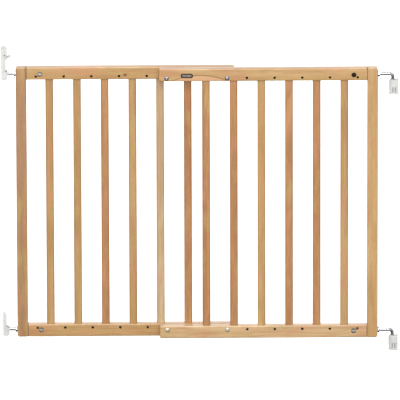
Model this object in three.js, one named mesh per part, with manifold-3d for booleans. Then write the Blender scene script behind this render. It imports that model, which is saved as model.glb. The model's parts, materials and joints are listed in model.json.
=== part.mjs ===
// An extending wooden safety gate for a doorway or a stair: two overlapping beech sections,
// hung on two bent hinge pins at one side and latched on two straight pins at the other.
//
// Millimetres, +Z up. The gate closes an opening along X: the hinge side's wall face is at x = 0
// and the latch side's wall face is at a negative x. The front of the gate faces -Y.
// The origin is the centre of the lower hinge bracket's wall face.

import * as THREE from 'three';
import { mergeVertices } from 'three/addons/utils/BufferGeometryUtils.js';
import Module from 'manifold-3d';

const wasm = await Module();
wasm.setup();

// ---------------------------------------------------------------- driving dimensions

const GAP = 0.3; // play left between pieces that rest on each other
const CUT = 1; // how far a cutting tool runs past the face it opens
const ROUND = 12; // sides of a round hole or pin
const FINE_ROUND = 18; // sides of a round piece that shows

// the two wooden sections
const GATE_HEIGHT = 720;
const SECTION_LENGTH = 554;
const SECTION_OVERLAP = 192;
const GATE_WIDTH = 2 * SECTION_LENGTH - SECTION_OVERLAP;
const STILE_WIDTH = 27;
const STILE_DEPTH = 22;
const STILE_CORNER = 6;
const RAIL_HEIGHT = 33;
const RAIL_DEPTH = 20;
const RAIL_CORNER = 5;
const WOOD_ROUNDING = 3;
const SECTION_STEP = RAIL_DEPTH + 0.6; // from the front section's middle plane to the rear one's

// the balusters and their round tenons
const BALUSTER_COUNT = 6;
const FIRST_BALUSTER = 85;
const BALUSTER_PITCH = 70;
const BALUSTER_WIDTH = 20;
const BALUSTER_DEPTH = 12.5;
const BALUSTER_CORNER = 5;
const PALE_BALUSTER = 5; // the rear section's one paler stick
const TENON_RADIUS = 5;
const TENON_LENGTH = 12;

// the row of holes that sets the gate's width
const WIDTH_HOLE_RADIUS = 3.3;
const WIDTH_HOLE_FROM_EDGE = 24;
const WIDTH_HOLES = [51.5, 121.5, 191.5, 261.5, 331.5, 381.5, 534.5];
const END_HOLE = WIDTH_HOLES.at(-1);

// the bolts that join the sections
const BOLT_RADIUS = 3;
const BOLT_HEAD_RADIUS = 5.75;
const BOLT_HEAD_HEIGHT = 3.3;
const BOLT_SOCKET_RADIUS = 2.3;
const BOLT_SOCKET_DEPTH = 1.9;
const BOLT_CROWN = [[1, 0.18], [0.86, 0.7], [0.55, 1]]; // shares of the head's radius and height
const NUT_HEX_RADIUS = 5.8;
const NUT_HEX_HEIGHT = 5.5;
const NUT_DOME_RADIUS = 4.8;
const NUT_BORE_DEPTH = 8;
const BOLT_TIP_PLAY = 2 * GAP; // between the bolt's end and the bottom of the nut's bore

// the M8 pins, their cross dowels and their thin lock nuts
const PIN_RADIUS = 4;
const PIN_FROM_END = 18;
const PIN_INSIDE = 70; // from the stile's outer face to the pin's inner end
const PIN_BORE_RADIUS = 4.6;
const PIN_BORE_LENGTH = 79;
const PIN_CHAMFER = 0.8;
const CROSS_DOWEL_AT = 61;
const CROSS_DOWEL_RADIUS = 6;
const CROSS_DOWEL_LENGTH = 15.4;
const CROSS_DOWEL_RECESS = 1.2;
const CROSS_HOLE_DEPTH = 17.4;
const SLOT_WIDTH = 1.6;
const SLOT_DEPTH = 1.2;
const LOCK_NUT_RADIUS = 7.5; // across its corners, 13 mm across its flats
const LOCK_NUT_THICKNESS = 4.5;

// the plain wooden dowels that stop a rail from turning on its pin
const WOOD_DOWEL_RADIUS = 3;
const WOOD_DOWEL_LENGTH = 30;
const WOOD_DOWEL_FROM_END = 7.5;

// the blank oval plate
const PLATE_LENGTH = 31;
const PLATE_HEIGHT = 11.6;
const PLATE_END_RADIUS = 5.4;
const PLATE_THICKNESS = 1.4;
const PLATE_ROUNDING = 0.4;
const PLATE_FROM_FREE_END = 71;
const PLATE_FROM_TOP = 17.5;

// the hinge brackets: a wall plate with a socket for the bent pin's leg
const HINGE_GAP = 37.5; // from the stile's outer face to the leg's axis
const LEG_FROM_WALL = 14;
const LEG_BEND_RADIUS = 8;
const BEND_STEPS = 5;
const BEND_LAP = 0.05; // how far the pin's straight lengths run into its bend
const LEG_IN_SOCKET = 20;
const SOCKET_BELOW_PIN = 16;
const SOCKET_HEIGHT = 37;
const SOCKET_RADIUS = 9.5;
const SOCKET_ROUNDING = 2;
const HINGE_PLATE_HEIGHT = 52;
const HINGE_PLATE_WIDTH = 24;
const HINGE_PLATE_FOOT_CORNER = 3;
const HINGE_PLATE_TOP_CORNER = HINGE_PLATE_WIDTH / 2 - 1;
const WALL_PLATE_THICKNESS = 3;
const BUSH_RADIUS = 6;
const BUSH_BORE_RADIUS = 4.3;
const BUSH_LENGTH = 22;
const BUSH_RIM_RADIUS = 7.6;
const BUSH_RIM_HEIGHT = 1.2;
const PANEL = { fromWall: 2.5, width: 14.5, height: 17.5, depth: 0.8, aboveFoot: 3 };
const GROOVE = { width: 3.2, height: 14, depth: 1.8, pitch: 6.4, aboveFoot: 5 };

// the wall screws' holes
const SCREW_RADIUS = 2.3;
const SCREW_HEAD_RADIUS = 4.3;
const SCREW_SEAT = 3;
const HINGE_SCREW_FROM_END = 7.5;

// the latch brackets: a cradle for the straight pin, and a catch over the upper one
const LATCH_GAP = 37; // from the stile's outer face to the wall
const LATCH_PIN_FROM_WALL = 10.3;
const LATCH_WIDTH = 23;
const LATCH_BELOW_PIN = 15;
const LATCH_ROUNDING = 1.2;
const LATCH_CORNER = 2;
const LATCH_ROUND_CORNER = 6;
const CRADLE_REACH = 17;
const CRADLE_ABOVE_PIN = 5.8;
const CRADLE_SLOT_RADIUS = 4.5;
const CRADLE_SLOT_START = 5;
const UPRIGHT_REACH = 9.5;
const LOWER_LATCH_ABOVE_PIN = 43.5;
const UPPER_LATCH_ABOVE_PIN = 69;
const GUARD = { reach: 13, from: 20, full: 25, to: 46 }; // the sides of the catch's pocket
const HOOD = { reach: 16, from: 50 }; // the head over the catch's pivot
const LATCH_SCREW_BELOW_PIN = 9.8;
const LOWER_SCREW_ABOVE_PIN = 30;
const UPPER_SCREW_ABOVE_PIN = 63;

// the catch lever on its pivot
const PIVOT_FROM_WALL = 9.5;
const PIVOT_ABOVE_PIN = 50;
const PIVOT_RADIUS = 2;
const PIVOT_BORE_RADIUS = 2.3;
const CATCH_WIDTH = 14;
const CATCH_POCKET_WIDTH = 15.4;
const CATCH_POCKET_TOP = 58.5;
const CATCH_ROUNDING = 0.6;
// The lever's side view as [from the wall, above the pin, corner radius]: a boss round the pivot,
// an arm that hangs down to a sloped nose above the latch pin's end, and a thumb tab that rises
// towards the gate.
const CATCH_OUTLINE = [
  [6.2, 54, 3], [6.8, 24, 1.5], [8.6, 14, 1.5], [8.6, 7, 0.8], [10.3, 7, 0.8], [12.6, 15, 1],
  [12.6, 36, 2], [15, 39, 1.5], [24.5, 45.5, 1.4], [23.4, 48.2, 1.2], [14.4, 43.6, 2], [13, 54, 3],
];

// the conical spring that pushes the lever's arm away from the wall
const SPRING_ABOVE_PIN = 30;
const SPRING_WALL_RADIUS = 3.3;
const SPRING_LEVER_RADIUS = 1.8;
const SPRING_WIRE_RADIUS = 0.35;
const SPRING_TURNS = 2.5;
const SPRING_FROM_WALL = WALL_PLATE_THICKNESS + GAP + SPRING_WIRE_RADIUS;
const SPRING_REACH = 6;
const SPRING_STEPS_PER_TURN = 12;

// ---------------------------------------------------------------- places worked out from them

const STILE_FACE_X = -(LEG_FROM_WALL + HINGE_GAP);
const REAR_STILE_FACE_X = STILE_FACE_X - GATE_WIDTH;
const LATCH_WALL_X = REAR_STILE_FACE_X - LATCH_GAP;
const HALF_HEIGHT = GATE_HEIGHT / 2;
const PIN_Z = HALF_HEIGHT - PIN_FROM_END; // above or below the gate's mid height
const SOCKET_TOP = SOCKET_HEIGHT - HINGE_PLATE_HEIGHT / 2; // above the hinge bracket's centre
const PIN_ABOVE_BRACKET = SOCKET_TOP + SOCKET_BELOW_PIN;
const GATE_MIDDLE_Z = PIN_ABOVE_BRACKET + PIN_Z;

// ---------------------------------------------------------------- materials

function finish(color, roughness, metalness = 0) {
  return new THREE.MeshStandardMaterial({ color, roughness, metalness });
}

const beech = () => finish('#cda36c', 0.55);
const paleBeech = () => finish('#d6b78c', 0.55);
const whitePlastic = () => finish('#e9e9e4', 0.4);
const greyNylon = () => finish('#d4d4cf', 0.5);
const chromedSteel = () => finish('#c9ccd0', 0.15, 1);
const zincSteel = () => finish('#b9bcc0', 0.35, 1);
const darkPlate = () => finish('#2b2927', 0.35);

// ---------------------------------------------------------------- solids

const ALONG_X = new THREE.Matrix4().makeBasis(
  new THREE.Vector3(0, 1, 0), new THREE.Vector3(0, 0, 1), new THREE.Vector3(1, 0, 0));
const ALONG_Y = new THREE.Matrix4().makeRotationX(Math.PI / 2);

function solid(geometry) {
  const bare = geometry.index ? geometry.toNonIndexed() : geometry.clone();
  bare.deleteAttribute('normal');
  bare.deleteAttribute('uv');
  const merged = mergeVertices(bare, 1e-4);
  return new wasm.Manifold(new wasm.Mesh({
    numProp: 3,
    vertProperties: new Float32Array(merged.attributes.position.array),
    triVerts: new Uint32Array(merged.index.array),
  }));
}

function surface(body) {
  const { vertProperties, triVerts } = body.getMesh();
  const geometry = new THREE.BufferGeometry();
  geometry.setAttribute('position', new THREE.BufferAttribute(vertProperties, 3));
  geometry.setIndex(new THREE.BufferAttribute(triVerts, 1));
  geometry.computeVertexNormals();
  return geometry;
}

function piece(name, body, material) {
  const mesh = new THREE.Mesh(surface(body), material);
  mesh.name = name;
  return mesh;
}

function at(geometry, x, y, z) {
  return solid(geometry.translate(x, y, z));
}

function block(fromX, toX, fromY, toY, fromZ, toZ) {
  const box = new THREE.BoxGeometry(toX - fromX, toY - fromY, toZ - fromZ);
  return at(box, (fromX + toX) / 2, (fromY + toY) / 2, (fromZ + toZ) / 2);
}

function rodX(radius, fromX, toX, y, z, sides = ROUND, turn = 0) {
  const rod = new THREE.CylinderGeometry(radius, radius, toX - fromX, sides, 1, false, turn);
  return at(rod.rotateZ(Math.PI / 2), (fromX + toX) / 2, y, z);
}

function rodY(radius, fromY, toY, x, z, sides = ROUND) {
  const rod = new THREE.CylinderGeometry(radius, radius, toY - fromY, sides);
  return at(rod, x, (fromY + toY) / 2, z);
}

function rodZ(radius, fromZ, toZ, x, y, sides = ROUND) {
  const rod = new THREE.CylinderGeometry(radius, radius, toZ - fromZ, sides).rotateX(Math.PI / 2);
  return at(rod, x, y, (fromZ + toZ) / 2);
}

// A closed outline from corners given as [across, up, corner radius], in counterclockwise order.
function outline(corners) {
  const shape = new THREE.Shape();
  corners.forEach(([across, up, radius], i) => {
    const corner = new THREE.Vector2(across, up);
    const toLast = new THREE.Vector2(...corners.at(i - 1)).sub(corner).normalize();
    const toNext = new THREE.Vector2(...corners[(i + 1) % corners.length]).sub(corner).normalize();
    const half = Math.acos(toLast.dot(toNext)) / 2;
    const centre = toLast.clone().add(toNext).setLength(radius / Math.sin(half)).add(corner);
    const from = toLast.setLength(radius / Math.tan(half)).add(corner).sub(centre);
    const to = toNext.clone().setLength(radius / Math.tan(half)).add(corner).sub(centre);
    shape.absarc(centre.x, centre.y, radius, from.angle(), to.angle(), from.cross(to) < 0);
  });
  shape.closePath();
  return shape;
}

// An outline given thickness about its own plane, with its long edges rounded over. An arc in
// the outline gets twice as many chords as `curveSegments`.
function slab(shape, thickness, rounding, curveSegments = 1, bevelSegments = 2) {
  return new THREE.ExtrudeGeometry(shape, {
    depth: thickness - 2 * rounding,
    bevelEnabled: rounding > 0,
    bevelSize: rounding,
    bevelThickness: rounding,
    bevelOffset: -rounding,
    bevelSegments,
    curveSegments,
  }).translate(0, 0, rounding - thickness / 2);
}

// A turned piece: profile points are [radius, height] from the axis up and back to it.
function turned(profile, sides = FINE_ROUND) {
  return new THREE.LatheGeometry(profile.map(([r, h]) => new THREE.Vector2(r, h)), sides);
}

function subtractAll(body, tools) {
  return tools.reduce((rest, tool) => rest.subtract(tool), body);
}

// ---------------------------------------------------------------- wooden pieces
// A section's own frame: x = 0 at the stile's outer face with the rails running towards -x,
// y = 0 in the middle of its depth, and z = 0 at its mid height. `up` is 1 at the end that
// faces +z and -1 at the other.

function stile() {
  const corners = [
    [-STILE_WIDTH, -HALF_HEIGHT, WOOD_ROUNDING + GAP],
    [0, -HALF_HEIGHT, STILE_CORNER],
    [0, HALF_HEIGHT, STILE_CORNER],
    [-STILE_WIDTH, HALF_HEIGHT, WOOD_ROUNDING + GAP],
  ];
  const plank = slab(outline(corners), STILE_DEPTH, WOOD_ROUNDING).applyMatrix4(ALONG_Y);
  const bores = [1, -1].flatMap((up) => [
    rodX(PIN_BORE_RADIUS, -STILE_WIDTH - CUT, CUT, 0, up * PIN_Z),
    rodX(
      WOOD_DOWEL_RADIUS + GAP, -STILE_WIDTH - CUT, -STILE_WIDTH + WOOD_DOWEL_LENGTH / 2 + GAP,
      0, up * (HALF_HEIGHT - WOOD_DOWEL_FROM_END)),
  ]);
  return subtractAll(solid(plank), bores);
}

function balusterX(number) {
  return -(FIRST_BALUSTER + number * BALUSTER_PITCH);
}

function rail(up) {
  const outer = up * HALF_HEIGHT;
  const inner = up * (HALF_HEIGHT - RAIL_HEIGHT);
  const [low, high] = up > 0 ? [inner, outer] : [outer, inner];
  const corners = [
    [-SECTION_LENGTH, low, RAIL_CORNER],
    [-STILE_WIDTH + 2 * WOOD_ROUNDING, low, WOOD_ROUNDING + GAP],
    [-STILE_WIDTH + 2 * WOOD_ROUNDING, high, WOOD_ROUNDING + GAP],
    [-SECTION_LENGTH, high, RAIL_CORNER],
  ];
  const plank = slab(outline(corners), RAIL_DEPTH, WOOD_ROUNDING).applyMatrix4(ALONG_Y);
  const squareEnd = block(-STILE_WIDTH - GAP, 0, -RAIL_DEPTH, RAIL_DEPTH, low - CUT, high + CUT);
  const front = -RAIL_DEPTH / 2;
  const mortiseEnd = up * (HALF_HEIGHT - RAIL_HEIGHT + TENON_LENGTH + GAP);
  const mortiseMouth = up * (HALF_HEIGHT - RAIL_HEIGHT - CUT);
  const mortiseSpan = [mortiseEnd, mortiseMouth].sort((a, b) => a - b);
  const bores = [
    squareEnd,
    rodX(PIN_BORE_RADIUS, -PIN_BORE_LENGTH, 0, 0, up * PIN_Z),
    rodX(
      WOOD_DOWEL_RADIUS + GAP, -STILE_WIDTH - WOOD_DOWEL_LENGTH / 2 - GAP, 0,
      0, up * (HALF_HEIGHT - WOOD_DOWEL_FROM_END)),
    rodY(
      CROSS_DOWEL_RADIUS + GAP, front - CUT, front + CROSS_HOLE_DEPTH,
      -CROSS_DOWEL_AT, up * PIN_Z, FINE_ROUND),
    ...WIDTH_HOLES.map((x) => rodY(
      WIDTH_HOLE_RADIUS, front - CUT, -front + CUT, -x, up * (HALF_HEIGHT - WIDTH_HOLE_FROM_EDGE))),
    ...Array.from({ length: BALUSTER_COUNT }, (_, i) => rodZ(
      TENON_RADIUS + GAP, ...mortiseSpan, balusterX(i), 0)),
  ];
  return subtractAll(solid(plank), bores);
}

function baluster(number) {
  const half = HALF_HEIGHT - RAIL_HEIGHT - GAP;
  const [w, d, r] = [BALUSTER_WIDTH / 2, BALUSTER_DEPTH / 2, BALUSTER_CORNER];
  const section = outline([[-w, -d, r], [w, -d, r], [w, d, r], [-w, d, r]]);
  const bar = at(slab(section, 2 * half, 0), balusterX(number), 0, 0);
  const tenons = rodZ(TENON_RADIUS, -half - TENON_LENGTH, half + TENON_LENGTH, balusterX(number), 0);
  return bar.add(tenons);
}

function woodDowel(up) {
  const half = WOOD_DOWEL_LENGTH / 2;
  const z = up * (HALF_HEIGHT - WOOD_DOWEL_FROM_END);
  return rodX(WOOD_DOWEL_RADIUS, -STILE_WIDTH - half, -STILE_WIDTH + half, 0, z);
}

// ---------------------------------------------------------------- metal pieces of a section

function crossDowel(up) {
  const front = -RAIL_DEPTH / 2 + CROSS_DOWEL_RECESS;
  const z = up * PIN_Z;
  const barrel = rodY(
    CROSS_DOWEL_RADIUS, front, front + CROSS_DOWEL_LENGTH, -CROSS_DOWEL_AT, z, FINE_ROUND);
  const [left, right] = [-1, 1].map((side) => -CROSS_DOWEL_AT + side * (CROSS_DOWEL_RADIUS + CUT));
  const thread = rodX(PIN_RADIUS + GAP, left, right, 0, z);
  const slot = block(left, right, front - CUT, front + SLOT_DEPTH, z - SLOT_WIDTH / 2, z + SLOT_WIDTH / 2);
  return subtractAll(barrel, [thread, slot]);
}

// A hexagon nut with a flat on top and a corner to the front.
function lockNut(up) {
  const z = up * PIN_Z;
  return rodX(LOCK_NUT_RADIUS, GAP, GAP + LOCK_NUT_THICKNESS, 0, z, 6, Math.PI / 6)
    .subtract(rodX(PIN_RADIUS + GAP, -CUT, LOCK_NUT_THICKNESS + 2 * CUT, 0, z));
}

// A bolt from the front of both rails, and its dome nut behind them. `behind` and `ahead` are
// the planes of the rear rail's back and the front rail's face.
function sectionBolt(x, z, ahead, behind) {
  const under = ahead - GAP;
  const shankEnd = behind + GAP + NUT_BORE_DEPTH - BOLT_TIP_PLAY;
  const crown = BOLT_CROWN.map(([across, up]) => [across * BOLT_HEAD_RADIUS, up * BOLT_HEAD_HEIGHT]);
  const head = turned([[0, 0], [BOLT_HEAD_RADIUS, 0], ...crown, [0, BOLT_HEAD_HEIGHT]])
    .rotateX(Math.PI);
  const socket = rodY(
    BOLT_SOCKET_RADIUS, under - BOLT_HEAD_HEIGHT - CUT, under - BOLT_HEAD_HEIGHT + BOLT_SOCKET_DEPTH,
    x, z, 6);
  return at(head, x, under, z).subtract(socket)
    .add(rodY(BOLT_RADIUS, under - CUT, shankEnd, x, z));
}

function domeNut(x, z, behind) {
  const seat = behind + GAP;
  const domeArc = [60, 30].map((degrees) => {
    const angle = THREE.MathUtils.degToRad(degrees);
    return [NUT_DOME_RADIUS * Math.sin(angle), NUT_HEX_HEIGHT + NUT_DOME_RADIUS * Math.cos(angle)];
  });
  const dome = turned([
    [0, 0], [NUT_DOME_RADIUS, 0], [NUT_DOME_RADIUS, NUT_HEX_HEIGHT], ...domeArc,
    [0, NUT_HEX_HEIGHT + NUT_DOME_RADIUS],
  ], ROUND);
  const hex = rodY(NUT_HEX_RADIUS, seat, seat + NUT_HEX_HEIGHT, x, z, 6);
  const bore = rodY(BOLT_RADIUS + GAP, seat - CUT, seat + NUT_BORE_DEPTH, x, z);
  return hex.add(at(dome, x, seat, z)).subtract(bore);
}

function ovalPlate() {
  const [long, high] = [PLATE_LENGTH / 2, PLATE_HEIGHT / 2];
  const ends = [[-long, -high], [long, -high], [long, high], [-long, high]];
  const oval = outline(ends.map(([across, up]) => [across, up, PLATE_END_RADIUS]));
  const back = -RAIL_DEPTH / 2 - GAP;
  const plate = slab(oval, PLATE_THICKNESS, PLATE_ROUNDING, 3, 1).applyMatrix4(ALONG_Y);
  return at(plate, -SECTION_LENGTH + PLATE_FROM_FREE_END, back - PLATE_THICKNESS / 2,
    HALF_HEIGHT - PLATE_FROM_TOP);
}

// ---------------------------------------------------------------- pins
// Each is drawn in its section's frame, at the pin's height.

function hingePin(up) {
  const z = up * PIN_Z;
  const straightEnd = HINGE_GAP - LEG_BEND_RADIUS;
  const legTop = z - LEG_BEND_RADIUS;
  const legEnd = z - SOCKET_BELOW_PIN - LEG_IN_SOCKET;
  const circle = new THREE.Shape().absarc(0, 0, PIN_RADIUS, 0, 2 * Math.PI);
  const bend = new THREE.ExtrudeGeometry(circle, {
    steps: BEND_STEPS,
    curveSegments: ROUND / 2,
    extrudePath: new QuarterBend(straightEnd, z),
  });
  const shaft = rodX(PIN_RADIUS, -PIN_INSIDE + PIN_CHAMFER, straightEnd + BEND_LAP, 0, z);
  const leg = rodZ(PIN_RADIUS, legEnd + PIN_CHAMFER, legTop + BEND_LAP, HINGE_GAP, 0);
  const shaftTip = rodX(PIN_RADIUS - PIN_CHAMFER, -PIN_INSIDE, -PIN_INSIDE + CUT, 0, z);
  const legTip = rodZ(PIN_RADIUS - PIN_CHAMFER, legEnd, legEnd + CUT, HINGE_GAP, 0);
  return [solid(bend), leg, shaftTip, legTip].reduce((all, part) => all.add(part), shaft);
}

// The quarter turn from the pin's shaft down into its leg.
class QuarterBend extends THREE.Curve {
  constructor(startX, topZ) {
    super();
    this.startX = startX;
    this.topZ = topZ;
  }

  getPoint(t) {
    const angle = t * Math.PI / 2;
    return new THREE.Vector3(
      this.startX + LEG_BEND_RADIUS * Math.sin(angle), 0,
      this.topZ - LEG_BEND_RADIUS * (1 - Math.cos(angle)));
  }
}

function latchPin(up) {
  const z = up * PIN_Z;
  const tip = LATCH_GAP - LATCH_PIN_FROM_WALL;
  const shaft = rodX(PIN_RADIUS, -PIN_INSIDE + PIN_CHAMFER, tip - PIN_CHAMFER, 0, z);
  return shaft.add(rodX(PIN_RADIUS - PIN_CHAMFER, -PIN_INSIDE, tip, 0, z));
}

// ---------------------------------------------------------------- hinge brackets
// In a bracket's own frame x = 0 is the wall, the gate lies towards -x, and z = 0 is the
// middle of the wall plate.

function countersunkHole(z) {
  const cone = new THREE.CylinderGeometry(
    SCREW_HEAD_RADIUS, SCREW_RADIUS, SCREW_HEAD_RADIUS - SCREW_RADIUS, ROUND).rotateZ(Math.PI / 2);
  const depth = SCREW_HEAD_RADIUS - SCREW_RADIUS;
  return rodX(SCREW_RADIUS, -WALL_PLATE_THICKNESS - CUT, CUT, 0, z)
    .add(at(cone, -WALL_PLATE_THICKNESS + depth / 2 - GAP, 0, z));
}

function hingeBracket() {
  const [w, h] = [HINGE_PLATE_WIDTH / 2, HINGE_PLATE_HEIGHT / 2];
  const [foot, top] = [HINGE_PLATE_FOOT_CORNER, HINGE_PLATE_TOP_CORNER];
  const plate = outline([[-w, -h, foot], [w, -h, foot], [w, h, top], [-w, h, top]]);
  const wallPlate = at(
    slab(plate, WALL_PLATE_THICKNESS, 0, 3).applyMatrix4(ALONG_X), -WALL_PLATE_THICKNESS / 2, 0, 0);
  const plan = new THREE.Shape();
  plan.moveTo(-LEG_FROM_WALL, SOCKET_RADIUS);
  plan.absarc(-LEG_FROM_WALL, 0, SOCKET_RADIUS, Math.PI / 2, 3 * Math.PI / 2);
  plan.lineTo(SOCKET_ROUNDING, -SOCKET_RADIUS);
  plan.lineTo(SOCKET_ROUNDING, SOCKET_RADIUS);
  plan.closePath();
  const socket = at(
    slab(plan, SOCKET_HEIGHT, SOCKET_ROUNDING, 4, 1), 0, 0, SOCKET_TOP - SOCKET_HEIGHT / 2);
  const screwZ = h - HINGE_SCREW_FROM_END;
  const reach = LEG_FROM_WALL + SOCKET_RADIUS;
  return subtractAll(wallPlate.add(socket), [
    block(0, 2 * SOCKET_ROUNDING, -HINGE_PLATE_WIDTH, HINGE_PLATE_WIDTH, -2 * h, 2 * h),
    rodZ(BUSH_RADIUS + GAP, SOCKET_TOP - BUSH_LENGTH - GAP, SOCKET_TOP + CUT, -LEG_FROM_WALL, 0,
      FINE_ROUND),
    rodX(SCREW_RADIUS, -reach - CUT, CUT, 0, -screwZ),
    rodX(SCREW_HEAD_RADIUS, -reach - CUT, -SCREW_SEAT, 0, -screwZ),
    countersunkHole(screwZ),
    ...[-1, 1].flatMap(gripGrooves),
  ]);
}

// A sunk panel low on one side of a socket, with two deeper upright grooves in it.
function gripGrooves(side) {
  const face = side * SOCKET_RADIUS;
  const foot = -HINGE_PLATE_HEIGHT / 2;
  const sunk = (middleX, { width, height, depth, aboveFoot }) => {
    const [near, far] = [face - side * depth, face + side * CUT].sort((a, b) => a - b);
    const low = foot + aboveFoot;
    return block(middleX - width / 2, middleX + width / 2, near, far, low, low + height);
  };
  return [
    sunk(-PANEL.fromWall - PANEL.width / 2, PANEL),
    ...[0, 1].map((step) => sunk(-LEG_FROM_WALL + step * GROOVE.pitch, GROOVE)),
  ];
}

// The sleeve in the socket, which turns with the pin's leg and stays when the leg is lifted.
function socketBush() {
  const rim = BUSH_RIM_HEIGHT + GAP;
  const ring = turned([
    [BUSH_BORE_RADIUS, -BUSH_LENGTH], [BUSH_RADIUS, -BUSH_LENGTH], [BUSH_RADIUS, GAP],
    [BUSH_RIM_RADIUS, GAP], [BUSH_RIM_RADIUS, rim], [BUSH_BORE_RADIUS, rim],
    [BUSH_BORE_RADIUS, -BUSH_LENGTH],
  ]).rotateX(Math.PI / 2);
  return at(ring, -LEG_FROM_WALL, 0, SOCKET_TOP);
}

// ---------------------------------------------------------------- latch brackets
// In a latch bracket's own frame x = 0 is the wall, the gate lies towards +x, and z = 0 is
// the latch pin's axis.

function cradleSlot() {
  const floor = rodX(CRADLE_SLOT_RADIUS, CRADLE_SLOT_START, CRADLE_REACH + CUT, 0, 0);
  return floor.add(block(
    CRADLE_SLOT_START, CRADLE_REACH + CUT, -CRADLE_SLOT_RADIUS, CRADLE_SLOT_RADIUS,
    0, CRADLE_ABOVE_PIN + CUT));
}

function boredScrewHole(reach, z) {
  return rodX(SCREW_RADIUS, -CUT, reach + CUT, 0, z)
    .add(rodX(SCREW_HEAD_RADIUS, SCREW_SEAT, reach + CUT, 0, z));
}

// The side view that both latch brackets share: a rounded foot, the cradle and the face above it.
const CRADLE_OUTLINE = [
  [0, -LATCH_BELOW_PIN, LATCH_CORNER],
  [CRADLE_REACH, -LATCH_BELOW_PIN, LATCH_ROUND_CORNER],
  [CRADLE_REACH, CRADLE_ABOVE_PIN, LATCH_CORNER],
  [UPRIGHT_REACH, CRADLE_ABOVE_PIN, LATCH_CORNER],
];

function latchBlock(upperOutline) {
  const side = outline([...CRADLE_OUTLINE, ...upperOutline]);
  return solid(slab(side, LATCH_WIDTH, LATCH_ROUNDING, 1, 1).applyMatrix4(ALONG_Y));
}

function lowerLatchBracket() {
  const body = latchBlock([
    [UPRIGHT_REACH, LOWER_LATCH_ABOVE_PIN, LATCH_ROUND_CORNER],
    [0, LOWER_LATCH_ABOVE_PIN, LATCH_CORNER],
  ]);
  return subtractAll(body, [
    cradleSlot(),
    boredScrewHole(CRADLE_REACH, -LATCH_SCREW_BELOW_PIN),
    boredScrewHole(UPRIGHT_REACH, LOWER_SCREW_ABOVE_PIN),
  ]);
}

function upperLatchBracket() {
  const body = latchBlock([
    [UPRIGHT_REACH, GUARD.from, LATCH_CORNER],
    [GUARD.reach, GUARD.full, LATCH_CORNER],
    [GUARD.reach, GUARD.to, LATCH_CORNER],
    [HOOD.reach, HOOD.from, LATCH_CORNER],
    [HOOD.reach, UPPER_LATCH_ABOVE_PIN, LATCH_ROUND_CORNER],
    [0, UPPER_LATCH_ABOVE_PIN, LATCH_CORNER],
  ]);
  const pocket = block(
    WALL_PLATE_THICKNESS, CRADLE_REACH + CUT, -CATCH_POCKET_WIDTH / 2, CATCH_POCKET_WIDTH / 2,
    CRADLE_ABOVE_PIN - CUT, CATCH_POCKET_TOP);
  return subtractAll(body, [
    cradleSlot(),
    pocket,
    rodY(PIVOT_BORE_RADIUS, -LATCH_WIDTH, LATCH_WIDTH, PIVOT_FROM_WALL, PIVOT_ABOVE_PIN),
    boredScrewHole(CRADLE_REACH, -LATCH_SCREW_BELOW_PIN),
    boredScrewHole(HOOD.reach, UPPER_SCREW_ABOVE_PIN),
  ]);
}

function catchLever() {
  const lever = slab(outline(CATCH_OUTLINE), CATCH_WIDTH, CATCH_ROUNDING, 1, 1);
  return solid(lever.applyMatrix4(ALONG_Y)).subtract(
    rodY(PIVOT_BORE_RADIUS, -LATCH_WIDTH, LATCH_WIDTH, PIVOT_FROM_WALL, PIVOT_ABOVE_PIN));
}

function catchPivot() {
  const half = LATCH_WIDTH / 2;
  return rodY(PIVOT_RADIUS, -half - GAP, half + GAP, PIVOT_FROM_WALL, PIVOT_ABOVE_PIN);
}

// The spring's wire line, winding inwards from the wall to the lever.
class SpringCoil extends THREE.Curve {
  getPoint(t) {
    const angle = t * SPRING_TURNS * 2 * Math.PI;
    const radius = THREE.MathUtils.lerp(SPRING_WALL_RADIUS, SPRING_LEVER_RADIUS, t);
    return new THREE.Vector3(
      THREE.MathUtils.lerp(SPRING_FROM_WALL, SPRING_REACH, t),
      radius * Math.cos(angle), radius * Math.sin(angle));
  }
}

function catchSpring() {
  const wire = new THREE.Shape().absarc(0, 0, SPRING_WIRE_RADIUS, 0, 2 * Math.PI);
  const coil = new THREE.ExtrudeGeometry(wire, {
    steps: SPRING_TURNS * SPRING_STEPS_PER_TURN,
    curveSegments: 3,
    extrudePath: new SpringCoil(),
  });
  return at(coil, 0, 0, SPRING_ABOVE_PIN);
}

// ---------------------------------------------------------------- the assembly

// One section. `topUp` is 1 where the section's own +z is the gate's +z and -1 where it is turned.
function sectionGroup(section, topUp, paleBaluster) {
  const group = new THREE.Group();
  group.add(piece(`${section}_stile`, stile(), beech()));
  for (const [end, up] of [['top', topUp], ['bottom', -topUp]]) {
    group.add(
      piece(`${section}_${end}_rail`, rail(up), beech()),
      piece(`${section}_${end}_wood_dowel`, woodDowel(up), paleBeech()),
      piece(`${section}_${end}_cross_dowel`, crossDowel(up), zincSteel()),
      piece(`${section}_${end}_lock_nut`, lockNut(up), chromedSteel()),
    );
  }
  for (let number = 1; number <= BALUSTER_COUNT; number += 1) {
    const wood = number === paleBaluster ? paleBeech() : beech();
    group.add(piece(`${section}_baluster_${number}`, baluster(number - 1), wood));
  }
  return group;
}

// The front section hangs on the two hinge pins.
function frontSection() {
  const group = sectionGroup('front', 1);
  group.position.set(STILE_FACE_X, 0, GATE_MIDDLE_Z);
  group.add(
    piece('oval_plate', ovalPlate(), darkPlate()),
    piece('hinge_pin_top', hingePin(1), chromedSteel()),
    piece('hinge_pin_bottom', hingePin(-1), chromedSteel()),
  );
  return group;
}

// The rear section is the same part turned upside down about Y, one rail's depth behind.
function rearSection() {
  const group = sectionGroup('rear', -1, PALE_BALUSTER);
  group.position.set(REAR_STILE_FACE_X, SECTION_STEP, GATE_MIDDLE_Z);
  group.rotation.y = Math.PI;
  group.add(
    piece('latch_pin_top', latchPin(-1), chromedSteel()),
    piece('latch_pin_bottom', latchPin(1), chromedSteel()),
  );
  return group;
}

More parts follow.
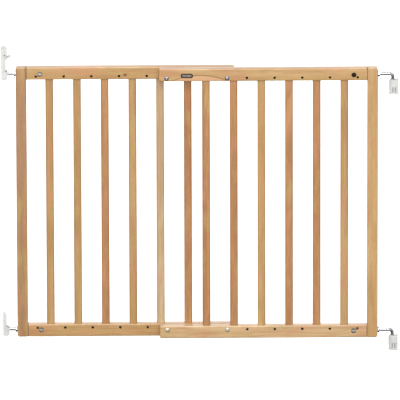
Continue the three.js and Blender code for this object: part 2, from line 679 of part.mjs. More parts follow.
// Four bolts hold the sections together, two through each section's end holes.
function sectionBolts() {
  const group = new THREE.Group();
  group.position.z = GATE_MIDDLE_Z;
  const ahead = -RAIL_DEPTH / 2;
  const behind = SECTION_STEP + RAIL_DEPTH / 2;
  const columns = { front: STILE_FACE_X - END_HOLE, rear: REAR_STILE_FACE_X + END_HOLE };
  for (const [section, x] of Object.entries(columns)) {
    for (const [end, up] of [['top', 1], ['bottom', -1]]) {
      const z = up * (HALF_HEIGHT - WIDTH_HOLE_FROM_EDGE);
      group.add(
        piece(`${section}_${end}_bolt`, sectionBolt(x, z, ahead, behind), chromedSteel()),
        piece(`${section}_${end}_dome_nut`, domeNut(x, z, behind), chromedSteel()),
      );
    }
  }
  return group;
}

function hingeSide() {
  const group = new THREE.Group();
  for (const [end, z] of [['top', 2 * PIN_Z], ['bottom', 0]]) {
    const bracket = piece(`hinge_bracket_${end}`, hingeBracket(), whitePlastic());
    const bush = piece(`socket_bush_${end}`, socketBush(), greyNylon());
    bracket.position.z = z;
    bush.position.z = z;
    group.add(bracket, bush);
  }
  return group;
}

function latchSide() {
  const top = new THREE.Group();
  top.position.set(LATCH_WALL_X, SECTION_STEP, GATE_MIDDLE_Z + PIN_Z);
  top.add(
    piece('latch_bracket_top', upperLatchBracket(), whitePlastic()),
    piece('catch_lever', catchLever(), whitePlastic()),
    piece('catch_pivot', catchPivot(), zincSteel()),
    piece('catch_spring', catchSpring(), zincSteel()),
  );
  const bottom = piece('latch_bracket_bottom', lowerLatchBracket(), whitePlastic());
  bottom.position.set(LATCH_WALL_X, SECTION_STEP, GATE_MIDDLE_Z - PIN_Z);
  return [top, bottom];
}

const gate = new THREE.Group();
gate.add(hingeSide(), frontSection(), rearSection(), sectionBolts(), ...latchSide());

export default gate;
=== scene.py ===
import json
import math
import random

import bmesh
import bpy
import numpy as np
from mathutils import Matrix, Vector


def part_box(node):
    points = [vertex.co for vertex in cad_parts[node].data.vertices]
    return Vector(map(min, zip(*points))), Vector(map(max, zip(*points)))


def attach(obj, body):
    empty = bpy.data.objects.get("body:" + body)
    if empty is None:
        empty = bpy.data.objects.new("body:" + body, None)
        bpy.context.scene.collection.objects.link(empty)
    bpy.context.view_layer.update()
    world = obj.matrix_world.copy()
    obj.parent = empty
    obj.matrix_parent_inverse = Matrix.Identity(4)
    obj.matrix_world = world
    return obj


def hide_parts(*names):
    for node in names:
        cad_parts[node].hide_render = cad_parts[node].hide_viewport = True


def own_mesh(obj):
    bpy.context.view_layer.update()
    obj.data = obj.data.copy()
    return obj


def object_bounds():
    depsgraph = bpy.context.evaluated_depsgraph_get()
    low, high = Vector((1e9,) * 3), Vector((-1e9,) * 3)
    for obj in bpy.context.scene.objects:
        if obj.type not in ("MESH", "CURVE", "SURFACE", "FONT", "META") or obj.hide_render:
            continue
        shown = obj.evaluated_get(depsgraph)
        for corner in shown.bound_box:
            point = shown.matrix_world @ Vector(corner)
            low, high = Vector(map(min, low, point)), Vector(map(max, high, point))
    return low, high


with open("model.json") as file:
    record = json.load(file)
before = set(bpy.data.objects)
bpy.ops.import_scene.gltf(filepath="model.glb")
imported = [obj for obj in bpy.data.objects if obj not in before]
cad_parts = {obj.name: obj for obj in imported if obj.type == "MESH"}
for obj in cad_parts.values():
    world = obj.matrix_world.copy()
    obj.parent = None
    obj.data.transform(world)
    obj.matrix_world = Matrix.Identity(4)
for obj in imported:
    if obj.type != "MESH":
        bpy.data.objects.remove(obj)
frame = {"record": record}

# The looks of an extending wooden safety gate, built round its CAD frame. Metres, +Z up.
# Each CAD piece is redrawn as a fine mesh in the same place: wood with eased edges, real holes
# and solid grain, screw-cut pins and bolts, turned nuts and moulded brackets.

cad_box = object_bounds()

MM = 0.001
X, Y, Z = Vector((1, 0, 0)), Vector((0, 1, 0)), Vector((0, 0, 1))
ENDS = ("top", "bottom")
SECTIONS = ("front", "rear")

# ---- dimensions the CAD pieces share

GAP = 0.3 * MM
CUT = 1 * MM  # how far a cutting tool runs past the face it opens
CLOSE_FIT = 0.26 * MM  # how much of the gap at a glued joint is closed
WELD = 0.002 * MM  # corners nearer than this are made one after a cut

STILE_CORNER = 6 * MM
RAIL_CORNER = 5 * MM
WOOD_ROUNDING = 3 * MM
JOINT_EASING = 0.7 * MM
BALUSTER_COUNT = 6
BALUSTER_CORNER = 5 * MM
BALUSTER_EASING = 0.5 * MM
BALUSTER_STEP = 80 * MM  # the furthest that two rings of points stand apart
TENON_RADIUS = 5 * MM
TENON_LENGTH = 12 * MM
DOWEL_RADIUS = 3 * MM
DOWEL_LENGTH = 30 * MM
DOWEL_EASING = 0.8 * MM
PIN_RADIUS = 4 * MM
PIN_BORE_RADIUS = 4.6 * MM
PIN_BORE_LENGTH = 79 * MM
WIDTH_HOLE_RADIUS = 3.3 * MM
WIDTH_HOLES = [51.5, 121.5, 191.5, 261.5, 331.5, 381.5, 534.5]
CROSS_HOLE_RADIUS = 6.3 * MM
CROSS_HOLE_DEPTH = 17.4 * MM
HOLE_EASING = 0.25 * MM
JOINT_HOLE_EASING = 0.2 * MM
NEAR = 0.001 * MM  # nearer than this, two places are the same
SKIN = 0.1 * MM  # how far off its nominal place a cut's face may lie
SHARP_EDGE = math.radians(60)

THREAD_PITCH = 1.25 * MM
THREAD_DEPTH = 0.45 * MM
THREAD_STEPS = 6  # rings of points in one pitch
BOLT_PITCH = 1 * MM


# ---- camera, light and floor

VIEW_WIDTH = 1.0142
VIEW_DISTANCE = 30
SENSOR = 36  # millimetres
YAW, PITCH, ROLL = (math.radians(a) for a in (0.53, 18.52, -0.166))
FLOOR_CLEARANCE = 30 * MM
FLOOR_SIZE = 40


def add_camera():
    low, high = (Vector(corner) for corner in cad_box)
    middle = (low + high) / 2
    target = Vector((middle.x, 0, middle.z))
    forward = Vector((math.sin(YAW) * math.cos(PITCH), math.cos(YAW) * math.cos(PITCH), -math.sin(PITCH)))
    level = Vector((math.cos(YAW), -math.sin(YAW), 0))
    upright = level.cross(forward)
    right = level * math.cos(ROLL) + upright * math.sin(ROLL)
    up = upright * math.cos(ROLL) - level * math.sin(ROLL)
    data = bpy.data.cameras.new("camera")
    data.sensor_width = SENSOR
    data.lens = SENSOR * VIEW_DISTANCE / VIEW_WIDTH
    data.clip_end = 10 * VIEW_DISTANCE
    camera = bpy.data.objects.new("camera", data)
    camera.matrix_world = Matrix.Translation(target - forward * VIEW_DISTANCE) @ Matrix(
        (right, up, -forward)).transposed().to_4x4()
    bpy.context.scene.collection.objects.link(camera)
    bpy.context.scene.camera = camera


def add_softbox(name, place, aim, width, height, power):
    data = bpy.data.lights.new(name, "AREA")
    data.shape = "RECTANGLE"
    data.size, data.size_y = width, height
    data.energy = power
    light = bpy.data.objects.new(name, data)
    light.location = place
    light.rotation_euler = (Vector(aim) - Vector(place)).to_track_quat("-Z", "Y").to_euler()
    bpy.context.scene.collection.objects.link(light)


# How bright the room is from straight down (-1) to straight up (1): dark below the eye, and a
# pale wall and ceiling.
ROOM = [(-1, 0.03), (-0.42, 0.03), (-0.26, 0.62), (-0.1, 0.62), (0.1, 0.5)]
# Each softbox: its place, the point it aims at, its width and height, and its power in watts.
SOFTBOXES = {
    "softbox_key": ((-2.1, -10, 13), (-0.5, 0, 0.3), 7, 5, 1300),
    "softbox_fill": ((-0.5, -3.4, 1.4), (-0.5, 0, 0), 5, 2.4, 97),
    "softbox_back": ((-0.5, 2.85, 1.6), (-0.5, 0, 0.6), 3.4, 1.3, 14),
    "softbox_rear": ((-0.5, 3.6, 0.2), (-0.5, 0, 0.4), 4, 0.8, 45),
}
FLOOR_GLOW = 0.52


def add_studio():
    """A pale room, dark low down for metal to show, with two softboxes before the gate and two behind."""
    world = bpy.data.worlds.new("studio")
    world.use_nodes = True
    tree = world.node_tree
    direction = tree.nodes.new("ShaderNodeTexCoord").outputs["Generated"]
    split = tree.nodes.new("ShaderNodeSeparateXYZ")
    tree.links.new(direction, split.inputs[0])
    height = tree.nodes.new("ShaderNodeMapRange")
    height.inputs["From Min"].default_value = -1
    tree.links.new(split.outputs["Z"], height.inputs["Value"])
    ramp = tree.nodes.new("ShaderNodeValToRGB")
    stops = ramp.color_ramp.elements
    while len(stops) < len(ROOM):
        stops.new(0.5)
    for stop, (level, light) in zip(stops, ROOM):
        stop.position, stop.color = (level + 1) / 2, (light, light, light, 1)
    tree.links.new(height.outputs[0], ramp.inputs[0])
    tree.links.new(ramp.outputs[0], tree.nodes["Background"].inputs["Color"])
    bpy.context.scene.world = world
    for name, facts in SOFTBOXES.items():
        add_softbox(name, *facts)


def add_floor():
    """A glowing white floor that only the camera sees."""
    half = FLOOR_SIZE / 2
    level = cad_box[0][2] - FLOOR_CLEARANCE
    corners = [(-half, -half, level), (half, -half, level), (half, half, level), (-half, half, level)]
    mesh = bpy.data.meshes.new("floor")
    mesh.from_pydata(corners, [], [(0, 1, 2, 3)])
    floor = bpy.data.objects.new("floor", mesh)
    floor.visible_glossy = False
    floor.visible_diffuse = False
    bpy.context.scene.collection.objects.link(floor)
    graph = Graph("pale_floor")
    mottle = graph.noise(graph.place(3), 4)
    graph.surface(graph.ramp(mottle, ("f2f2f0", "fafaf9"), 0, 1), 0.9)
    mesh.materials.append(graph.set(Emission_Color=(1, 1, 1, 1), Emission_Strength=FLOOR_GLOW))


# ---- materials

def linear(hex_colour):
    """A colour written as six hex digits, as the shaders want it."""
    shares = [int(hex_colour[i:i + 2], 16) / 255 for i in (0, 2, 4)]
    return tuple((s / 12.92 if s <= 0.04045 else ((s + 0.055) / 1.055) ** 2.4) for s in shares) + (1,)


class Graph:
    """A material's node tree, built by short calls."""

    def __init__(self, name):
        self.material = bpy.data.materials.new(name)
        self.material.use_nodes = True
        self.tree = self.material.node_tree
        self.shader = self.tree.nodes["Principled BSDF"]

    def feed(self, socket, value):
        if isinstance(value, bpy.types.NodeSocket):
            self.tree.links.new(value, socket)
        else:
            socket.default_value = value

    def node(self, kind, inputs=None, **settings):
        node = self.tree.nodes.new("ShaderNode" + kind)
        for key, value in settings.items():
            setattr(node, key, value)
        for key, value in (inputs or {}).items():
            self.feed(node.inputs[key], value)
        return node

    def math(self, operation, a, b=0.0, c=0.0):
        return self.node("Math", {0: a, 1: b, 2: c}, operation=operation).outputs[0]

    def times(self, a, b):
        return self.math("MULTIPLY", a, b)

    def distance(self, a, b):
        """How far from the origin a point with these two coordinates lies."""
        return self.math("SQRT", self.math("ADD", self.times(a, a), self.times(b, b)))

    def coordinates(self):
        """The x, y and z of a point on the piece."""
        return self.node("SeparateXYZ", {0: self.node("TexCoord").outputs["Object"]}).outputs

    def stretch(self, vector, scale):
        return self.node("VectorMath", {0: vector, 1: scale}, operation="MULTIPLY").outputs[0]

    def place(self, scale):
        """Where a point lies on the piece, times a scale."""
        return self.stretch(self.node("TexCoord").outputs["Object"], (scale, scale, scale))

    def noise(self, vector, detail=2.0, roughness=0.5):
        inputs = {"Vector": vector, "Scale": 1.0, "Detail": detail, "Roughness": roughness}
        return self.node("TexNoise", inputs).outputs["Fac"]

    def between(self, value, low, high, from_low=0.0, from_high=1.0):
        """A value mapped smoothly from one span to another."""
        spans = {"From Min": from_low, "From Max": from_high, "To Min": low, "To Max": high}
        return self.node("MapRange", {"Value": value, **spans}, interpolation_type="SMOOTHSTEP").outputs[0]

    def mix(self, share, a, b):
        return self.node("Mix", {0: share, 6: a, 7: b}, data_type="RGBA").outputs[2]

    def ramp(self, value, colours, low=0.3, high=0.75):
        """A blend from one colour at `low` to the other at `high`."""
        node = self.node("ValToRGB", {0: value})
        for stop, position, colour in zip(node.color_ramp.elements, (low, high), colours):
            stop.position, stop.color = position, linear(colour)
        return node.outputs[0]

    def bump(self, height, strength, distance):
        node = self.node("Bump", {"Height": height, "Strength": strength, "Distance": distance})
        self.feed(self.shader.inputs["Normal"], node.outputs[0])

    def surface(self, colour, roughness):
        self.feed(self.shader.inputs["Base Color"], colour)
        self.feed(self.shader.inputs["Roughness"], roughness)

    def set(self, **values):
        """Values that are the same all over, on the shader's own sockets."""
        for key, value in values.items():
            self.shader.inputs[key.replace("_", " ")].default_value = value
        return self.material


RING_SPACING = 3.4 * MM
RING_WAVER = 16 * MM

# Timbers by name: pale wood, deep wood, and the colour of growth lines and flecks.
TIMBERS = {
    "honey": ("d0ac78", "bd945d", "a0723a"),
    "wheat": ("d8b98b", "c6a173", "a97e4b"),
    "straw": ("c59f68", "b28855", "986d38"),
    "amber": ("c28e5a", "ad7749", "8f5b2d"),
    "cream": ("cfb28c", "bd9a75", "a28058"),
    "rose": ("c39b68", "aa8054", "875f3a"),
}


def wood_material(timber, marks=()):
    """Lacquered beech. The solid grain follows the piece's own grain attribute: x along the
    fibres and y, z across them from the tree's heart, so that each face shows its own cut."""
    pale, deep, line = (linear(c) for c in TIMBERS[timber])
    graph = Graph(f"beech_{timber}" + "".join(f"_{kind}" for kind, *_ in marks))
    grain = graph.node("Attribute", attribute_name="grain").outputs["Vector"]
    split = graph.node("SeparateXYZ", {0: grain}).outputs

    def figure(along, across, *detail):
        """Noise with so many waves to a metre along the fibres and across them."""
        return graph.noise(graph.stretch(grain, (along, across, across)), *detail)

    radius = graph.math("MULTIPLY_ADD", figure(4, 24, 2), RING_WAVER, graph.distance(split[1], split[2]))
    ring = graph.math("FRACT", graph.math("DIVIDE", radius, RING_SPACING))
    late_wood = graph.between(ring, 0.0, 1.0, 0.35, 0.95)
    drift = figure(1.6, 38, 3)
    cloud = figure(9, 60, 3, 0.6)
    fibre = figure(22, 900, 3, 0.65)
    fleck = figure(230, 1500, 1, 0.4)
    patch = figure(11, 30, 2)
    colour = graph.mix(graph.between(drift, 0, 1, 0.34, 0.66), pale, deep)
    colour = graph.mix(graph.between(patch, 0.0, 0.6, 0.5, 0.7), colour, linear("cb8e69"))
    colour = graph.mix(graph.between(patch, 0.55, 0.0, 0.3, 0.48), colour, linear("bf9f62"))
    colour = graph.mix(graph.times(late_wood, 0.30), colour, line)
    colour = graph.mix(graph.between(cloud, 0.0, 0.42, 0.4, 0.7), colour, line)
    colour = graph.mix(graph.between(fibre, 0.0, 0.34, 0.48, 0.75), colour, line)
    colour = graph.mix(graph.between(fleck, 0.0, 0.55, 0.60, 0.70), colour, line)
    for kind, *facts in marks:
        colour = MARKS[kind](graph, colour, *facts)
    graph.surface(colour, graph.between(cloud, 0.36, 0.52, 0.3, 0.7))
    relief = graph.math("MULTIPLY_ADD", fleck, -0.5, graph.times(fibre, -1.0))
    graph.bump(relief, 0.22, 0.25 * MM)
    return graph.set(Coat_Weight=1.0, Coat_Roughness=0.16, Specular_IOR_Level=0.5)


def arch_mark(graph, colour, middle, half, foot, rise):
    """A dark growth line that arches along a rail's face, over lighter wood."""
    x, _, z = graph.coordinates()
    share = graph.math("DIVIDE", graph.math("SUBTRACT", x, middle), half)
    curve = graph.math("MULTIPLY_ADD", graph.times(share, share), -rise, foot + rise)
    height = graph.math("SUBTRACT", z, curve)
    line = graph.between(graph.math("ABSOLUTE", height), 0.9, 0.0, 0.2 * MM, 1.9 * MM)
    shade = graph.between(height, 0.35, 0.0, 0.0, 7 * MM)
    under = graph.between(height, 0.6, 0.0, -1.5 * MM, 0.2 * MM)
    side = graph.between(height, 0.0, 1.0, -0.2 * MM, 0.2 * MM)
    near = graph.between(graph.math("ABSOLUTE", share), 1.0, 0.0, 0.9, 1.3)
    for strength, tint in ((graph.times(shade, side), "ad8550"), (under, "d9a57c"), (line, "8a6232")):
        colour = graph.mix(graph.times(strength, near), colour, linear(tint))
    return colour


def knot_mark(graph, colour, knot_x, knot_z, radius):
    """A small dark knot, longer along the rail than across, with a halo of darker wood."""
    x, _, z = graph.coordinates()
    along = graph.times(graph.math("SUBTRACT", x, knot_x), 0.55)
    reach = graph.distance(along, graph.math("SUBTRACT", z, knot_z))
    ragged = graph.math("MULTIPLY_ADD", graph.noise(graph.place(900), 2), 0.8 * radius, reach)
    halo = graph.between(ragged, 0.5, 0.0, 1.2 * radius, 4 * radius)
    heart = graph.between(ragged, 0.95, 0.0, radius, 1.7 * radius)
    colour = graph.mix(halo, colour, linear("a4713f"))
    return graph.mix(heart, colour, linear("4a2710"))


def stain_mark(graph, colour, low, high):
    """A stretch of closely flecked, darker wood on an upright."""
    height = graph.coordinates()[2]
    rise = graph.between(height, 0.0, 1.0, low - 60 * MM, low + 20 * MM)
    fall = graph.between(height, 1.0, 0.0, high - 20 * MM, high + 60 * MM)
    specks = graph.noise(graph.stretch(graph.place(1), (420, 420, 90)), 2, 0.6)
    patch = graph.times(graph.times(rise, fall), graph.between(specks, 0.12, 0.85, 0.35, 0.62))
    return graph.mix(patch, colour, linear("a87a5c"))


MARKS = {"arch": arch_mark, "knot": knot_mark, "stain": stain_mark}


def bore_shade_material():
    """Painted shade: near-black wood for the wall of a bored hole, also used to darken the groove at a
    joint, with tool marks.
    """
    graph = Graph("drilled_wood")
    rings = graph.noise(graph.stretch(graph.place(1), (60, 2600, 60)), 2)
    graph.surface(graph.ramp(rings, ("140d08", "2c1d11")), graph.between(rings, 0.75, 0.95))
    graph.bump(rings, 0.3, 0.1 * MM)
    return graph.set(Specular_IOR_Level=0.2)


def plastic_material(name, colours, roughness):
    """Moulded nylon: nearly even, with a faint mottle and a fine spark-eroded skin."""
    graph = Graph(name)
    mottle = graph.noise(graph.place(70), 3)
    skin = graph.noise(graph.place(2600), 2)
    graph.surface(graph.ramp(mottle, colours, 0.3, 0.7),
                  graph.between(skin, roughness - 0.07, roughness + 0.1))
    graph.bump(skin, 0.12, 0.05 * MM)
    return graph.set(Specular_IOR_Level=0.5)


def metal_material(name, colours, smooth, rough):
    """Plated steel with faint polishing marks and cloudy wear in its shine."""
    graph = Graph(name)
    cloud = graph.noise(graph.place(160), 4, 0.6)
    scratches = graph.noise(graph.stretch(graph.place(1), (500, 3500, 3500)), 2)
    wear = graph.math("MULTIPLY_ADD", scratches, 0.06, graph.between(cloud, smooth, rough, 0.35, 0.75))
    graph.surface(graph.ramp(cloud, colours), wear)
    graph.bump(scratches, 0.05, 0.03 * MM)
    return graph.set(Metallic=1.0)


def plate_material(name, colours):
    """A moulded plate with a soft gloss and handling marks."""
    graph = Graph(name)
    mottle = graph.noise(graph.place(240), 3)
    graph.surface(graph.ramp(mottle, colours), graph.between(mottle, 0.22, 0.4, 0.3, 0.75))
    graph.bump(graph.noise(graph.place(1800), 2), 0.08, 0.05 * MM)
    return graph.set(Coat_Weight=0.3, Coat_Roughness=0.1)


# ---- mesh tools

def from_bmesh(name, bm):
    mesh = bpy.data.meshes.new(name)
    bmesh.ops.recalc_face_normals(bm, faces=bm.faces)
    bm.to_mesh(mesh)
    bm.free()
    obj = bpy.data.objects.new(name, mesh)
    bpy.context.scene.collection.objects.link(obj)
    return obj


def apply_modifiers(obj):
    """Replaces the object's mesh by what its modifiers make of it."""
    depsgraph = bpy.context.evaluated_depsgraph_get()
    mesh = bpy.data.meshes.new_from_object(obj.evaluated_get(depsgraph))
    obj.modifiers.clear()
    old, obj.data = obj.data, mesh
    bpy.data.meshes.remove(old)


def combine(obj, tools, operation="DIFFERENCE"):
    """Cuts the tools from the object, or joins or keeps what they share, and removes them."""
    for tool in tools:
        modifier = obj.modifiers.new("cut", "BOOLEAN")
        modifier.operation = operation
        modifier.solver = "EXACT"
        modifier.object = tool
    apply_modifiers(obj)
    for tool in tools:
        mesh = tool.data
        bpy.data.objects.remove(tool)
        bpy.data.meshes.remove(mesh)
    bm = bmesh.new()
    bm.from_mesh(obj.data)
    bmesh.ops.remove_doubles(bm, verts=bm.verts, dist=WELD)
    bmesh.ops.dissolve_degenerate(bm, edges=bm.edges, dist=WELD)
    bm.to_mesh(obj.data)
    bm.free()
    return obj


def smooth(obj, degrees):
    """Smooth shading that keeps flat faces flat and edges sharper than the angle crisp."""
    obj.data.shade_smooth()
    obj.data.set_sharp_from_angle(angle=math.radians(degrees))
    obj.modifiers.new("weighted_normals", "WEIGHTED_NORMAL").keep_sharp = True


def arc(start, stop, step):
    """The cosine and sine at angles in degrees, for the round stretches of an outline."""
    return [(math.cos(math.radians(a)), math.sin(math.radians(a))) for a in range(start, stop, step)]


def block(low, high):
    bm = bmesh.new()
    size, middle = Vector(high) - Vector(low), (Vector(high) + Vector(low)) / 2
    bmesh.ops.create_cube(bm, size=1, matrix=Matrix.Translation(middle) @ Matrix.Diagonal((*size, 1)))
    return bm


def box_tool(low, high):
    return from_bmesh("tool", block(low, high))


def bevel(bm, edges, width, segments):
    bmesh.ops.bevel(bm, geom=list(edges), offset=width, segments=segments, affect="EDGES", profile=0.5,
                    clamp_overlap=False)


def turn_towards(direction):
    """The rotation that carries +Z to a direction."""
    return Z.rotation_difference(Vector(direction)).to_matrix().to_4x4()


def lathe(name, profile, origin, direction, sides=48, turn=0.0):
    """A turned solid. The profile's [radius, height] points start and end on the axis, or go
    round a ring's section. `turn` is where round the axis the first side starts."""
    bm = bmesh.new()
    place = Matrix.Translation(Vector(origin)) @ turn_towards(direction)
    rings = []
    angles = [turn + 2 * math.pi * i / sides for i in range(sides)]
    for radius, height in profile:
        ring = angles if radius else [0]
        rings.append([bm.verts.new(place @ Vector((radius * math.cos(a), radius * math.sin(a), height)))
                      for a in ring])
    if profile[0][0]:
        rings.append(rings[0])
    for lower, upper in zip(rings, rings[1:]):
        for i in range(sides):
            j = (i + 1) % sides
            if len(lower) == 1:
                bm.faces.new((lower[0], upper[j], upper[i]))
            elif len(upper) == 1:
                bm.faces.new((lower[i], lower[j], upper[0]))
            else:
                bm.faces.new((lower[i], lower[j], upper[j], upper[i]))
    return from_bmesh(name, bm)


def rod(origin, direction, radius, length):
    return lathe("tool", [(0, 0), (radius, 0), (radius, length), (0, length)], origin, direction, 32)


def eased_rod(name, origin, direction, radius, length, ease, sides=48):
    """A turned bar with both rims chamfered."""
    profile = [(0, 0), (radius - ease, 0), (radius, ease), (radius, length - ease), (radius - ease, length),
               (0, length)]
    return lathe(name, profile, origin, direction, sides)


def eased_hole(origin, direction, radius, depth, easing=HOLE_EASING):
    """A cutting tool for a drilled hole with a slightly eased mouth. The origin lies in the face."""
    profile = [(0, -CUT), (radius + easing + CUT, -CUT), (radius, easing), (radius, depth), (0, depth)]
    return lathe("tool", profile, origin, direction, 36)


def through_hole(origin, direction, radius, length, easing, sides):
    """A cutting tool for a hole right through, eased at both mouths."""
    wide = radius + easing + CUT
    profile = [(0, -CUT), (wide, -CUT), (radius, easing), (radius, length - easing), (wide, length + CUT),
               (0, length + CUT)]
    return lathe("tool", profile, origin, direction, sides)


NUT_SLOPE = 0.62  # the height of a nut's chamfer as a share of corner less flat
NUT_FACE = 0.985  # the round end face against the flats
NUT_CLEARANCE = 1.02  # the turning tool against the corners


def hexagon(name, origin, direction, across_corners, height, turn=0.0):
    """A hexagonal prism whose corners are turned off at a slope at both ends, as on a nut."""
    prism = lathe(name, [(0, 0), (across_corners, 0), (across_corners, height), (0, height)],
                  origin, direction, 6, turn)
    flats = across_corners * math.cos(math.pi / 6)
    slope = (across_corners - flats) * NUT_SLOPE
    narrow, wide = flats * NUT_FACE, across_corners * NUT_CLEARANCE
    profile = [(0, 0), (narrow, 0), (wide, slope), (wide, height - slope), (narrow, height), (0, height)]
    return combine(prism, [lathe("tool", profile, origin, direction, 96)], "INTERSECT")


def outline(corners, steps=7):
    """A closed outline from corners given as (across, up, corner radius)."""
    points = []
    for i, (across, up, radius) in enumerate(corners):
        corner = Vector((across, up))
        to_last = (Vector(corners[i - 1][:2]) - corner).normalized()
        to_next = (Vector(corners[(i + 1) % len(corners)][:2]) - corner).normalized()
        half = math.acos(max(-1, min(1, to_last.dot(to_next)))) / 2
        centre = corner + (to_last + to_next).normalized() * (radius / math.sin(half))
        start = corner + to_last * (radius / math.tan(half)) - centre
        turn = (math.pi - 2 * half) * (1 if to_last.x * to_next.y - to_last.y * to_next.x < 0 else -1)
        for k in range(steps + 1):
            angle = turn * k / steps
            points.append(centre + Vector((start.x * math.cos(angle) - start.y * math.sin(angle),
                                           start.x * math.sin(angle) + start.y * math.cos(angle))))
    return points


def rounded_box(half_width, half_height, radius, steps):
    return outline([(-half_width, -half_height, radius), (half_width, -half_height, radius),
                    (half_width, half_height, radius), (-half_width, half_height, radius)], steps)


def slab(name, points, place, low, high, rounding=0.0, segments=4):
    """A flat outline given thickness. place(u, v, w) puts a point of the outline at depth w."""
    bm = bmesh.new()
    layers = [[bm.verts.new(place(p[0], p[1], w)) for p in points] for w in (low, high)]
    count = len(points)
    bm.faces.new(layers[0])
    bm.faces.new(list(reversed(layers[1])))
    for i in range(count):
        j = (i + 1) % count
        bm.faces.new((layers[0][i], layers[0][j], layers[1][j], layers[1][i]))
    if rounding:
        rims = [bm.edges.get((layer[i], layer[(i + 1) % count])) for layer in layers for i in range(count)]
        bevel(bm, rims, rounding, segments)
    return from_bmesh(name, bm)


def loft(name, bm, rings):
    """A solid whose skin runs from ring to ring, closed by the first and the last."""
    count = len(rings[0])
    for lower, upper in zip(rings, rings[1:]):
        for i in range(count):
            j = (i + 1) % count
            bm.faces.new((lower[i], lower[j], upper[j], upper[i]))
    bm.faces.new(list(reversed(rings[0])))
    bm.faces.new(rings[-1])
    return from_bmesh(name, bm)


def sweep(name, stations, radius_at, sides=28):
    """A round bar along stations of (point, side vector, other side vector, distance along)."""
    bm = bmesh.new()
    rings = []
    for point, side, other, along in stations:
        ring = []
        for i in range(sides):
            angle = 2 * math.pi * i / sides
            radius = radius_at(along, angle)
            ring.append(bm.verts.new(point + radius * (math.cos(angle) * side + math.sin(angle) * other)))
        rings.append(ring)
    return loft(name, bm, rings)


def screw_radius(radius, pitch, depth, spans, ends, chamfer):
    """The radius of a bar with threads cut on the given spans and chamfered ends."""
    def at(along, angle):
        tip = min(along - ends[0], ends[1] - along)
        value = radius
        for start, stop in spans:
            if start <= along <= stop:
                fade = min(1.0, (along - start) / pitch, (stop - along) / pitch)
                turn = (along / pitch - angle / (2 * math.pi)) % 1
                value = radius - depth * fade * abs(2 * turn - 1)
        return min(value, radius - chamfer + tip)
    return at


def dense(start, stop, step):
    """Even marks from start to stop, no further apart than the step."""
    count = max(1, math.ceil(abs(stop - start) / step))
    return [start + (stop - start) * i / count for i in range(count + 1)]


# ---- finishing and placing a piece

BODY_OF = {node: body for body, nodes in frame["record"]["behaviour"]["bodies"].items() for node in nodes}


def stand_for(obj, node, material, degrees=32):
    """The piece is smoothed, and takes its CAD node's place, body and material slot."""
    smooth(obj, degrees)
    obj.name = f"fine_{node}"
    obj.data.name = obj.name
    obj.data.materials.clear()
    obj.data.materials.append(material)
    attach(obj, BODY_OF[node])
    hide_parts(node)
    return obj


def second_finish(obj, material, chosen):
    """Gives the faces that are chosen a material of their own."""
    obj.data.materials.append(material)
    for face in obj.data.polygons:
        if chosen(face):
            face.material_index = 1


HEART_DISTANCE = (30 * MM, 70 * MM)  # how far from the tree's heart a piece may be cut
GRAIN_SLOPE = 0.014
TREE_LENGTH = 20  # metres of trunk that a piece's place is picked from
AXIS_ORDER = {"X": (0, 1, 2), "Z": (2, 0, 1)}


def add_grain(obj, along):
    """Stores where each point of a wooden piece lay in the tree."""
    chance = random.Random(obj.name)
    distance, angle = chance.uniform(*HEART_DISTANCE), chance.uniform(0, 2 * math.pi)
    start = chance.uniform(0, TREE_LENGTH)
    lean = [chance.uniform(-GRAIN_SLOPE, GRAIN_SLOPE) for _ in range(2)]
    points = np.empty(len(obj.data.vertices) * 3, np.float32)
    obj.data.vertices.foreach_get("co", points)
    points = points.reshape(-1, 3)
    local = points - (points.max(0) + points.min(0)) / 2
    grain = local[:, AXIS_ORDER[along]].copy()
    grain[:, 1] += distance * math.cos(angle) + lean[0] * grain[:, 0]
    grain[:, 2] += distance * math.sin(angle) + lean[1] * grain[:, 0]
    grain[:, 0] += start
    attribute = obj.data.attributes.new("grain", "FLOAT_VECTOR", "POINT")
    attribute.data.foreach_set("vector", grain.astype(np.float32).ravel())


# ---- wooden pieces

def box_of(node):
    """A CAD node's lowest and highest corners, and its middle."""
    low, high = (Vector(corner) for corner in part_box(node))
    return low, high, (low + high) / 2


def middle_of(node):
    return box_of(node)[2]


def wood_bar(low, high, corner_x, corner, butt_x=math.inf):
    """A planed bar with its large corner radius at `corner_x`. An end at `butt_x` butts against a
    stile, so it is only eased."""
    bm = block(low, high)

    def lies_at(edge, x):
        return all(abs(v.co.x - x) < NEAR for v in edge.verts)

    corners = [e for e in bm.edges
               if lies_at(e, corner_x) and abs(e.verts[0].co.y - e.verts[1].co.y) > NEAR]
    bevel(bm, corners, corner, 8)
    rims = [e for e in bm.edges if e.calc_face_angle(0) > SHARP_EDGE and not lies_at(e, butt_x)]
    bevel(bm, rims, WOOD_ROUNDING, 5)
    ends = [e for e in bm.edges if lies_at(e, butt_x)]
    if ends:
        bevel(bm, ends, JOINT_EASING, 2)
    return bm


def section_frame(section):
    """The outer face of a section's stile, the way its rails run along X, and its middle plane."""
    low, high, _ = box_of(f"{section}_stile")
    outer, run = (high.x, -1) if section == "front" else (low.x, 1)
    return outer, run, (low.y + high.y) / 2


def rail_ends(section, end):
    """Where a rail begins at its stile, and where its free end is."""
    low, high, _ = box_of(f"{section}_{end}_rail")
    return (high.x, low.x) if section == "front" else (low.x, high.x)


def width_holes(section, end):
    """The x and z of a rail's row of holes."""
    outer, run, _ = section_frame(section)
    z = middle_of(f"{section}_{end}_bolt").z
    return [(outer + run * hole * MM, z) for hole in WIDTH_HOLES]


def dowel_hole(section, end, x, way):
    """A cutting tool for half of a wood dowel, into the face at x."""
    place = (x, section_frame(section)[2], middle_of(f"{section}_{end}_wood_dowel").z)
    return eased_hole(place, way * X, DOWEL_RADIUS + GAP, DOWEL_LENGTH / 2 + GAP, JOINT_HOLE_EASING)


